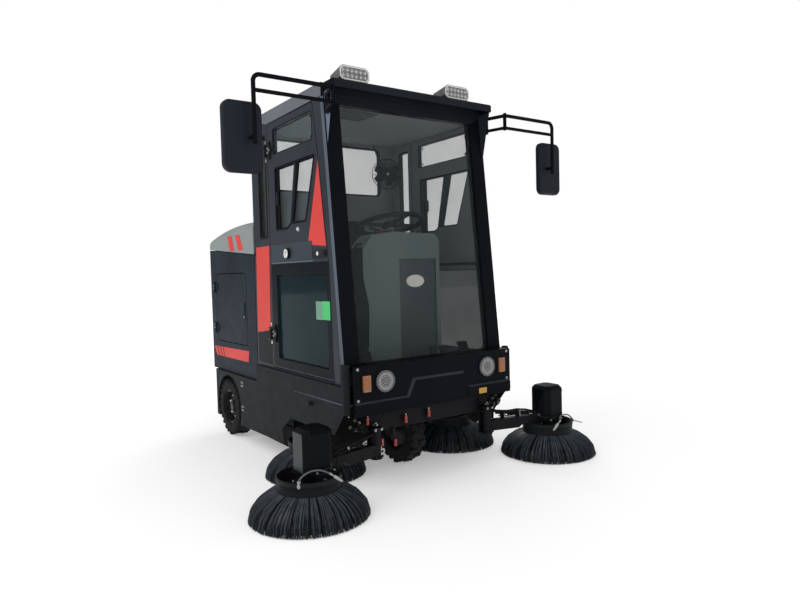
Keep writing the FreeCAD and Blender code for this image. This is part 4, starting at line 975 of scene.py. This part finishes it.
def rim_dress(name, body, middle, sign, face, nuts, hub):
    """Wheel nuts, hub cap, rim beads and valve on a wheel's open side."""
    bits = Piece(name, body, SILVER, sign)
    face += middle[0]

    def spot(x, r, a):
        return (x, middle[1] + r * math.cos(a), middle[2] + r * math.sin(a))

    for a in turns(6):
        bits.lathe([(11, 0), (11, 1.6), (8.5, 1.8), (8.5, 7), (7, 9), (4, 9), (4, 11.5),
                    (3, 12.5)], spot(face, nuts, a + 0.3), OUT, 6)
    bits.lathe([(hub, 0), (hub, 4), (hub - 5, 7), (hub - 12, 8), (hub - 13, 6.5), (6, 6.5)],
               spot(face + 20, 0, 0), OUT, 36, RIM)
    for a in turns(3):
        bits.screw(spot(face + 24, hub - 8, a), OUT, 2.6, 3)
    bits.lathe([(4.5, 0), (4.5, 6), (3.2, 8), (3.2, 20), (3.8, 20), (3.8, 27), (3, 28)],
               spot(face, nuts + 20, 1.15), OUT, 12, RUBBER)
    for r in (nuts - 22, nuts + 18):
        bits.lathe([(r - 2, -0.5), (r - 1.5, 1.2), (r + 1.5, 1.2), (r + 2, -0.5)],
                   spot(face, 0, 0), OUT, 60, RIM, closed=True)
    bits.done(0.4, 1)


for side, sign in SIDES:
    body = "rear_wheel_" + side
    middle = (sign * REAR_WHEEL[0],) + REAR_WHEEL[1:]
    detailed_tyre("rear_tyre_" + side, body, middle, 112.0, 112.0)
    rim_dress("rear_rim_bits_" + side, body, REAR_WHEEL, sign, 12.0, 72.0, 34.0)
detailed_tyre("front_tyre", "front_wheel", FRONT_WHEEL, 92.0, 104.0)
rim_dress("front_rim_bits", "front_wheel", FRONT_WHEEL, 1, 14.0, 68.0, 30.0)


def roller_dress():
    """Roller core with ten rows of bristle tufts, in the solid roller's place."""
    made = Strands()
    draw = random.Random(8)
    half = 354.0
    core = ((18, -391), (18, -362), (58, -362), (62, -358), (62, 358), (58, 362), (18, 362),
            (18, 391))
    made.rings([(x, r * math.cos(a), r * math.sin(a)) for r, x in core for a in turns(48)], 48,
               0, (0, len(core) - 1))
    for row in range(10):
        a = math.radians(36.0 * row)
        for t in range(64):
            for _ in range(9):
                x = -349 + 698 * t / 63 + draw.gauss(0, 3.2)
                x = max(-half, min(half, x))
                off = draw.uniform(-8, 8)
                reach = 157.5 - draw.uniform(0, 3.5)
                lean = max(-half - 0.5, min(half + 0.5, x + draw.gauss(0, 3.0)))
                spread = off * draw.uniform(1.1, 1.5)
                points = []
                for r, along, aside, w in ((60, x, off, 1.5),
                                           (112, (x + lean) / 2, (off + spread) / 2, 1.3),
                                           (reach, lean, spread, 1.0)):
                    for b in turns(3):
                        u = aside + w * math.cos(b)
                        points.append((along + w * math.sin(b), u * math.cos(a) - r * math.sin(a),
                                       r * math.cos(a) + u * math.sin(a)))
                made.rings(points, 3, 1, (2,), 1)
    name = "main_roller_dress"
    obj = show(name, made.mesh(name, (HOUSING, BRISTLE), 45, (0, ROLLER_Y, ROLLER_Z)))
    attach(obj, "main_roller")
    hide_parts("main_roller")


roller_dress()


# Rear face and roof


def rear_lamp(side, sign):
    """Ribbed lens, clear end and black bezel of a rear lamp."""
    lamp = Piece("rear_lamp_dress_" + side, "chassis", PLASTIC)
    x, y, z = sign * 450, 1971.0, 730
    outer, inner = ([(x - w, z - h), (x + w, z - h), (x + w, z + h), (x - w, z + h)]
                    for w, h in ((54, 34), (49, 29)))
    lamp.rim(y - 9, outer, inner, 8, plane="y")
    for k in range(11):
        u = x - 45 + 9 * k
        lamp.slab(y + 0.2, ((u - 3.4, 703), (u + 3.4, 703), (u + 3.4, 757), (u - 3.4, 757)), 1.8,
                  CLEAR_LENS if k < 3 else RED_LENS, "y")
    for v in (-24, 24):
        lamp.lathe([(3, 0), (3, 1.4), (1.6, 2.2)], (x, y + 2.0, z + v), BACK, 12, STEEL)
    lamp.done(0.5, 1)


def rear_trim():
    """Rear window seal, roof beads and rivets, and the rear sheet's screws."""
    trim = Piece("rear_trim", "chassis", RUBBER)
    outer, inner = rounded(-397, 397, 1607, 1934, 34, 6), rounded(-387, 387, 1617, 1924, 24, 6)
    for y, depth in ((1128.8, 2.4), (1107.2, -2.4)):
        trim.rim(y, outer, inner, depth, plane="y")
    for x in (-505, 505):
        for y in range(260, 1101, 105):
            # Roof rivet heads in the painted-highlight grey
            trim.lathe([(5.5, -0.4), (5.5, 0.8), (4, 1.8), (1.5, 2.2)], (x, y, ROOF_TOP), UP, 14,
                       HIGHLIGHT_GREY)
    for y in (318, 712, 1106):
        trim.box(-499, 499, y - 3, y + 3, ROOF_TOP - 0.4, ROOF_TOP + 1.4, PLASTIC)
    spots = [(x, z) for x in (-505, 505) for z in (470, 610, 870, 1010, 1150)]
    for x, z in spots + [(x, 455) for x in (-440, -150, 150, 440)]:
        trim.lathe([(6.5, -0.4), (6.5, 1.0), (4.4, 1.2), (4.2, 3.0), (2.2, 3.4)], (x, REAR_Y, z),
                   BACK, 16, STEEL)
    trim.done(0.4, 1)


for side, sign in SIDES[::-1]:
    rear_lamp(side, sign)
rear_trim()


# Lamps and front plate


def headlamp(side, sign):
    """Bezel and the rings of cells of a headlamp."""
    lamp = Piece("headlamp_" + side, "chassis", LED_BODY)
    x, y, z = at = (sign * HEADLAMP_X, -5.2, HEADLAMP_Z)
    lamp.lathe([(53, -2), (53.2, 2.6), (52.2, 3.8), (51, 3.4), (50.4, 1.0)], at, AHEAD, 64)
    for count, radius, turn in ((1, 0, 0), (6, 12, 0), (12, 23.5, 15), (18, 35, 0), (26, 45.2, 5)):
        for u, v in arc(x, z, radius, turn, turn + 360, count)[:-1]:
            lamp.lathe([(5.2, -2), (5.2, 0.4), (4.4, 1.8), (2.8, 2.8), (1.0, 3.1)], (u, y, v),
                       AHEAD, 12)
    lamp.lathe([(48.5, -2), (48.5, -0.6), (1, -0.6)], at, AHEAD, 48, LED_DARK)
    lamp.done(0.2, 1)


def marker(side, sign):
    """Ribs and screws of an amber marker."""
    lamp = Piece("marker_" + side, "chassis", AMBER)
    x = sign * MARKER_X
    for z in range(518, 579, 10):
        lamp.prism([(x - 17, -9.8, z), (x - 17, -12.0, z + 2.5), (x - 17, -12.0, z + 5.5),
                    (x - 17, -9.8, z + 8)], (34, 0, 0))
    for z in (513.2, 584.8):
        lamp.lathe([(2.8, 0), (2.8, 1.3), (1.4, 1.9)], (x, -9.9, z), AHEAD, 12, STEEL)
    lamp.done(0.3, 1)


def roof_lamp(side, sign):
    """Two rows of cells with bezel, pivot screws and clear cover of a roof lamp."""
    lamp = Piece("roof_lamp_" + side, "chassis", SILVER)
    x = sign * ROOF_LAMP_X
    for row in (2079, 2105):
        for k in range(6):
            at = (x - 65 + 26 * k, 208, row)
            lamp.lathe([(12.6, 0), (12.2, 2.8), (11.2, 2.4), (8.0, 0.5)], at, AHEAD, 20, LED_BODY)
            lamp.lathe([(6.0, 0.6), (4.6, 2.2), (2.0, 3.0)], at, AHEAD, 16)
    lamp.rim(205.2, rounded(x - 86, x + 86, 2057, 2127, 26, 6),
             rounded(x - 79, x + 79, 2064, 2120, 20, 6), -3.2, plane="y")
    for k in (-1, 1):
        lamp.screw((x + k * 12, 255 + k * 3, 2062), (k, 0, 0), 6, 4, STEEL)
    lamp.done(0.8)
    cover = Piece("roof_lamp_cover_" + side, "chassis", COVER_GLASS)
    cover.slab(204.6, rounded(x - 81, x + 81, 2062, 2122, 22, 6), -1.4, plane="y")
    cover.done(0.5)


def front_plate():
    """Bumper screws, blank yellow label, red-capped valves under the bumper and the struts."""
    plate = Piece("front_plate_dress", "chassis", PLASTIC)
    for sign in (-1, 1):
        for z in (621, 469):
            x = sign * 492
            plate.screw((x, front_of("front_bumper", x, z), z), AHEAD, 5.0, 3.4, STEEL)
    at = front_of("front_bumper", 301, 425)
    plate.slab(at - 0.1, rounded(273, 329, 407, 437, 4, 3), -1.0, LABEL_YELLOW, "y")
    for x, z in ((-405, 349), (-173, 324), (-23, 333)):
        plate.lathe([(7, 0), (9, 1), (9, 15), (8, 16), (8, 19), (9, 20), (9, 38), (7, 39)],
                    (x, 66, z - 19), UP, 24, RED_CAP)
        plate.box(x - 7, x + 7, 66, 86, z - 12, z + 12)
        plate.rod((x, 66, z + 20), (x, 66, z + 30), 4, 12, STEEL)
        plate.tube([(x, 66, z - 20), (x, 66, z - 32), (x + 8, 70, z - 44), (x + 20, 78, z - 50),
                    (x + 34, 86, z - 50)], 4, 8, RUBBER)
    for x, y, z, top in ((-341, 36, 238, 260), (-241, 66, 214, 292)):
        plate.box(x - 6, x + 6, y + 8, y + 12, z - 16, top)
        plate.lathe([(6, 0), (8, 1), (8, 15), (7, 16), (7, 19), (8, 20), (8, 36), (6, 37)],
                    (x, y, z - 18), UP, 24, RED_CAP)
    plate.done(0.5)
    strut = Piece("front_struts", "chassis", FRAME)
    for sign in (-1, 1):
        strut.rod((sign * 400, 40, 398), (sign * 368, 44, 372), 4, 10)
        strut.rod((sign * 330, 24, 386), (sign * 366, 40, 330), 3.5, 10)
        strut.lathe([(14, 0), (14, 8), (9, 8), (9, 14)], (sign * 372, 45, 326), UP, 6, STEEL)
    strut.done(0.4)


for side, sign in SIDES[::-1]:
    headlamp(side, sign)
    marker(side, sign)
    roof_lamp(side, sign)
front_plate()


# Brush arms: spray pipes, hoses and fittings


def arm_dress(side, sign):
    """Spray pipe with its nozzle, hoses, clamps and screws on a front brush's arm."""
    arm = "front_arm_" + side
    bits = Piece("arm_pipes_" + side, arm, STEEL, sign)
    path = [(881, -130, 186), (881, -130, 200), (874, -130, 208), (865, -130, 215),
            (852, -131, 223), (838, -131, 228), (818, -131, 231), (797, -131, 230),
            (776, -134, 227), (760, -146, 221), (747, -160, 214)]
    if side == "left":
        path = [(893, -131, 186), (886, -131, 196)] + path[3:]
        bits.tube([(972, -132, 160), (935, -132, 172), (893, -131, 186)], 3.4)
        bits.lathe([(3.4, 0), (6.5, 2), (6.5, 14), (4, 16)], (886, -131, 188), (0.94, 0, -0.34),
                   12)
    else:
        bits.lathe([(3, 0), (7, 2), (9, 6), (9, 16), (6.5, 18), (6.5, 26), (8, 27), (8, 32)],
                   (881, -131, 166), UP, 16, NOZZLE)
    bits.tube(path, 4.0, 10, PIPE)
    tip, run = path[-1], (-66, -4, -52)
    bits.lathe([(5, -2), (7, 0), (7, 12), (5, 14), (5, 28)], tip, run, 16)
    bits.lathe([(5, 27), (7.5, 29), (7.5, 56), (6, 59), (6, 74), (3, 78)], tip, run, 16, NOZZLE)
    bits.tube([(768, -139, 224), (748, -133, 228), (720, -127, 230), (694, -124, 230),
               (678, -106, 231), (664, -76, 236), (640, -42, 244), (600, -14, 252),
               (552, 4, 254), (500, 14, 255)], 3.6, 8, RUBBER)
    for x, y in ((706, -128), (790, -128)):
        bits.box(x - 9, x + 9, -136, -116, 210.5, 214, PLASTIC)
        bits.screw((x, y, 214), UP, 5.5, 5)
    for z in (238, 372):
        for x in (720, 814):
            bits.lathe([(3.6, 0), (3.6, 1.4), (2.2, 2.2)], (x, front_of(arm, sign * x, z), z),
                       AHEAD, 12, PLASTIC)
    bits.tube([(698, -52, 236), (676, -46, 243), (640, -28, 256), (600, -8, 262), (540, 10, 262),
               (480, 22, 264), (430, 36, 270)], 6.0, 10, RUBBER)
    bits.tube([(698, -18, 246), (672, -14, 256), (630, -2, 268), (580, 14, 274), (520, 28, 272),
               (460, 42, 276), (424, 50, 288)], 5.2, 10, RUBBER)
    bits.tube([(698, -34, 226), (668, -44, 232), (622, -30, 246), (566, -12, 252), (500, 6, 250),
               (440, 24, 254)], 3.2, 8, PLASTIC)
    for y, z in ((-52, 236), (-18, 246)):
        bits.lathe([(9, -3), (9, 8), (7, 9), (7, 16)], (694, y, z), (-1, 0, 0), 6)
    for t in (0.25, 0.6):
        x, y = 400 + 280 * t, 40 - 62 * t
        bits.lathe([(22, -4), (23.5, -3), (23.5, 3), (22, 4)], (x, y, 256), (0.97, -0.24, 0), 20,
                   PLASTIC)
        bits.screw((x, y - 22, 262), (0, -0.9, 0.4), 4.5, 4)
    bits.done(0.3, 1)


def bracket_dress(side, sign):
    """Hose fittings with short hoses, and the screws of the arm's bracket."""
    fix = Piece("bracket_fittings_" + side, "chassis", STEEL, sign)
    draw = random.Random(5)
    for k, (x, z, mat) in enumerate(((470, 360, BRASS), (448, 344, STEEL), (430, 322, BRASS),
                                     (466, 312, STEEL), (498, 330, BRASS))):
        fix.lathe([(9, 0), (9, 8), (6.5, 9), (6.5, 16)], (x, 84, z), AHEAD, 6, mat)
        end = (x - 60 - 14 * k, 70 + 4 * k, 268 + 10 * k)
        mid = ((x + end[0]) / 2 + draw.uniform(-8, 8), 30 + draw.uniform(-8, 6),
               (z + end[2]) / 2 - 24)
        fix.tube([between(between((x, 68, z), mid, i / 12), between(mid, end, i / 12), i / 12)
                  for i in range(13)], 4.6, 8, RUBBER)
    for z in (336, 310, 200, 176):
        for x in (354, 390):
            fix.screw((x, 17.2, z), AHEAD, 4.6, 4, STEEL if z == 310 else PLASTIC)
    for x in (150, 260, 450, 500):
        fix.screw((x, 84.1, 386), AHEAD, 5.5, 4.5)
    fix.done(0.3, 1)


def splash_flap(side, sign):
    """Rubber flap behind the front brush's arm, under a screwed clamp strip."""
    flap = Piece("splash_flap_" + side, "chassis", RUBBER, sign)
    columns = 25
    points = []
    for k in range(columns):
        t = k / (columns - 1)
        wave = 2.5 * math.sin(t * 14.0)
        low = 198 + 46 * max(0.0, t - 0.75) * 4
        points += [flap.flip((544 - 212 * t, y, z)) for y, z in (
            (168, 432), (168 + wave, 300), (172 + 1.6 * wave, low), (176 + 1.6 * wave, low),
            (172 + wave, 300), (172, 432))]
    flap.add(points, wrap(columns, 6) + ends(columns, 6))
    flap.box(332, 544, 164, 168, 402, 430, FRAME)
    for k in range(5):
        flap.screw((524 - 43 * k, 164, 416), AHEAD, 5, 4, STEEL)
    flap.done(0.4, 1)


for side, sign in SIDES:
    arm_dress(side, sign)
    bracket_dress(side, sign)
    splash_flap(side, sign)


# Cab inside


def fan():
    """Four-blade cab fan with its wire guard on the left rear post."""
    c = Vector((410, 1040, 1757))
    axis = Vector((-0.45, -0.88, -0.12)).normalized()
    side = axis.cross(Vector(UP)).normalized()
    top = side.cross(axis)
    piece = Piece("cab_fan", "chassis", PLASTIC)

    def ray(a):
        return side * math.cos(a) + top * math.sin(a)

    for radius, lift in ((102, 0), (100, -30), (34, 36)):
        piece.tube([c + axis * lift + ray(a) * radius for a in turns(48) + [0.0]], 1.8, 6)
    for a in turns(12):
        d, e = ray(a), ray(a + 0.5)
        piece.tube([c + d * 18 + axis * 38, c + (d + e) * 30 + axis * 33, c + e * 96 + axis * 12,
                    c + e * 102, c + e * 100 - axis * 30, c + e * 40 - axis * 44], 1.1, 5)
    for degrees in (28, 152, 208, 332):
        a = math.radians(degrees)
        d, e = ray(a), ray(a + math.pi / 2)
        piece.prism([c + d * u + e * v + axis * w for u, v, w in (
            (18, -15, 6), (54, -27, 10), (88, -22, 8), (93, 16, -6), (58, 28, -12), (18, 15, -8))],
            axis * 2.5, BLACK)
    piece.lathe([(8, 46), (16, 44), (24, 38), (26, 10), (26, -10), (38, -14), (40, -64),
                 (30, -74)], c, axis, 28)
    piece.lathe([(10, 44), (10, 47), (6, 48.5)], c, axis, 20, STEEL)
    back = c - axis * 66
    piece.tube([back, (452, 1094, 1740), (470, 1104, 1720)], 8)
    piece.box(448, 492, 1101, 1107, 1690, 1744)
    piece.tube([back + Vector((0, 0, 30)), (400, 1092, 1840), (352, 1080, 1890),
                (318, 1060, 1947)], 3, 8)
    piece.done(0.2, 1)


def padding(name, box, lean, bulge, seams, along, front):
    """A crowned pad with rolled edges and sewn channels, as a finely divided closed shell."""
    bm = bmesh.new()
    bmesh.ops.create_cube(bm, size=2.0)
    bmesh.ops.subdivide_edges(bm, edges=bm.edges[:], cuts=27, use_grid_fill=True)
    half = [(high - low) / 2 for low, high in box]
    mid = [(high + low) / 2 for low, high in box]
    thin = half.index(min(half))
    flat = [i for i in range(3) if i != thin]
    edge = min(26.0, half[thin] * 0.9) if half[thin] <= 26 else 26.0
    for v in bm.verts:
        p = v.co.copy()
        raw = [p[i] * half[i] for i in range(3)]
        core = [max(edge - half[i], min(half[i] - edge, raw[i])) for i in range(3)]
        out = Vector([raw[i] - core[i] for i in range(3)])
        if out.length > 1e-6:
            out = out.normalized() * max(abs(c) for c in out)
        q = [core[i] + out[i] for i in range(3)]
        low = 1 - (1 - p[flat[0]] ** 2) * (1 - p[flat[1]] ** 2)
        side = 1.0 if q[thin] > 0 else -1.0
        face = min(1.0, abs(q[thin]) / half[thin])
        dip = 0.0
        if side == front:
            for s in seams:
                dip += math.exp(-((p[along] - s) / 0.035) ** 2)
            rim = max(abs(p[flat[0]]), abs(p[flat[1]]))
            dip += 0.7 * math.exp(-((rim - 0.84) / 0.03) ** 2)
        q[thin] = q[thin] * (1.0 - 0.10 * low) - side * face * (bulge * low + dip * 5.0)
        x, y, z = (mid[i] + q[i] for i in range(3))
        v.co = P(x, y + lean * (z - box[2][0]), z)
    mesh = bpy.data.meshes.new(name)
    bm.to_mesh(mesh)
    bm.free()
    mesh.materials.append(VINYL)
    smooth(mesh)
    obj = show(name, mesh)
    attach(obj, "chassis")
    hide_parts("seat_cushions")


padding("seat_pad", ((-224, 224), (576, 958), (836, 929)), 0.0, 6, (-0.5, 0.0, 0.5), 0, 1)
padding("seat_back_pad", ((-214, 214), (968, 1030), (934, 1428)), 0.096, 5, (-0.45, 0.0, 0.45),
        2, -1)


def cab_inside():
    """Badge, switches, mats, foot pads, column boot, lever and hose round the console."""
    bits = Piece("cab_fittings", "chassis", PLASTIC)
    bits.slab(308.0, [(88 + 62 * math.cos(a), 1031 + 35 * math.sin(a)) for a in turns(48)],
              -2.0, BADGE, "y")
    for k in range(6):
        bits.box(-400, -110, 340 + 34 * k, 352 + 34 * k, 1944.5, 1948, CONSOLE_DARK)
    bits.box(-180, -150, 386, 400, 1220, 1262)
    for x, z, mat in ((-130, 1296, PLASTIC), (-95, 1296, RED_CAP), (130, 1300, PLASTIC),
                      (165, 1300, PLASTIC)):
        bits.lathe([(9, 0), (9, 6), (7, 8), (7, 16), (5, 18)], (x, 372, z), UP, 20, mat)
    for y in (480, 640, 800, 960):
        bits.box(-430, 430, y, y + 90, 530.2, 533.5, RUBBER)
    for x in (-300, 372):
        bits.prism([(x - 36, 224, 618), (x + 36, 224, 618), (x + 36, 248, 668),
                    (x - 36, 248, 668)], (0, 9, 0), RUBBER)
        for k in range(5):
            y, z = 225 + 4.5 * k, 622 + 9.4 * k
            bits.prism([(x - 32, y, z), (x + 32, y, z), (x + 32, y + 1.6, z + 3.6),
                        (x - 32, y + 1.6, z + 3.6)], (0, -2.4, 1), RUBBER)
        bits.tube([(x, 246, 646), (x, 276, 610), (x, 290, 560), (x, 292, 531)], 7)
    lean = Vector((0, math.sin(COLUMN_TILT), math.cos(COLUMN_TILT)))
    for k in range(5):
        bits.lathe([(30 - 2 * k, 0), (34 - 2 * k, 5), (30 - 2 * k, 10)],
                   COLUMN_TOP - lean * (92 - 11 * k), lean, 28, RUBBER)
    stalk = COLUMN_TOP - lean * 52
    tip = stalk + Vector((-120, -10, 22))
    bits.tube([stalk, stalk + Vector((-60, -6, 6)), tip], 5)
    bits.lathe([(7, 0), (9, 4), (9, 22), (6, 26)], tip, (-0.97, -0.08, 0.2), 16)
    bits.tube([(-250, 330, 1240), (-278, 330, 1236), (-300, 340, 1200), (-312, 360, 1130),
               (-300, 420, 1000), (-262, 432, 860)], 6, 10, RUBBER)
    bits.done(0.8)
    wheel = Piece("steering_hub", "steering_wheel", PLASTIC)
    wheel.lathe([(44, -16), (48, -6), (46, 8), (34, 16), (12, 19)], COLUMN_TOP, lean, 40)
    wheel.lathe([(14, 18), (14, 20), (11, 21)], COLUMN_TOP, lean, 32, LABEL_SILVER)
    aside = Vector((0, math.cos(COLUMN_TILT), -math.sin(COLUMN_TILT)))
    for a in turns(24):
        ray = Vector((math.cos(a + 0.13), 0, 0)) + aside * math.sin(a + 0.13)
        wheel.tube([COLUMN_TOP + ray * 192 + (ray * math.cos(b) + lean * math.sin(b)) * 14.4
                    for b in turns(12) + [0.0]], 1.4, 5)
    wheel.done(0.5, 1)


fan()
cab_inside()
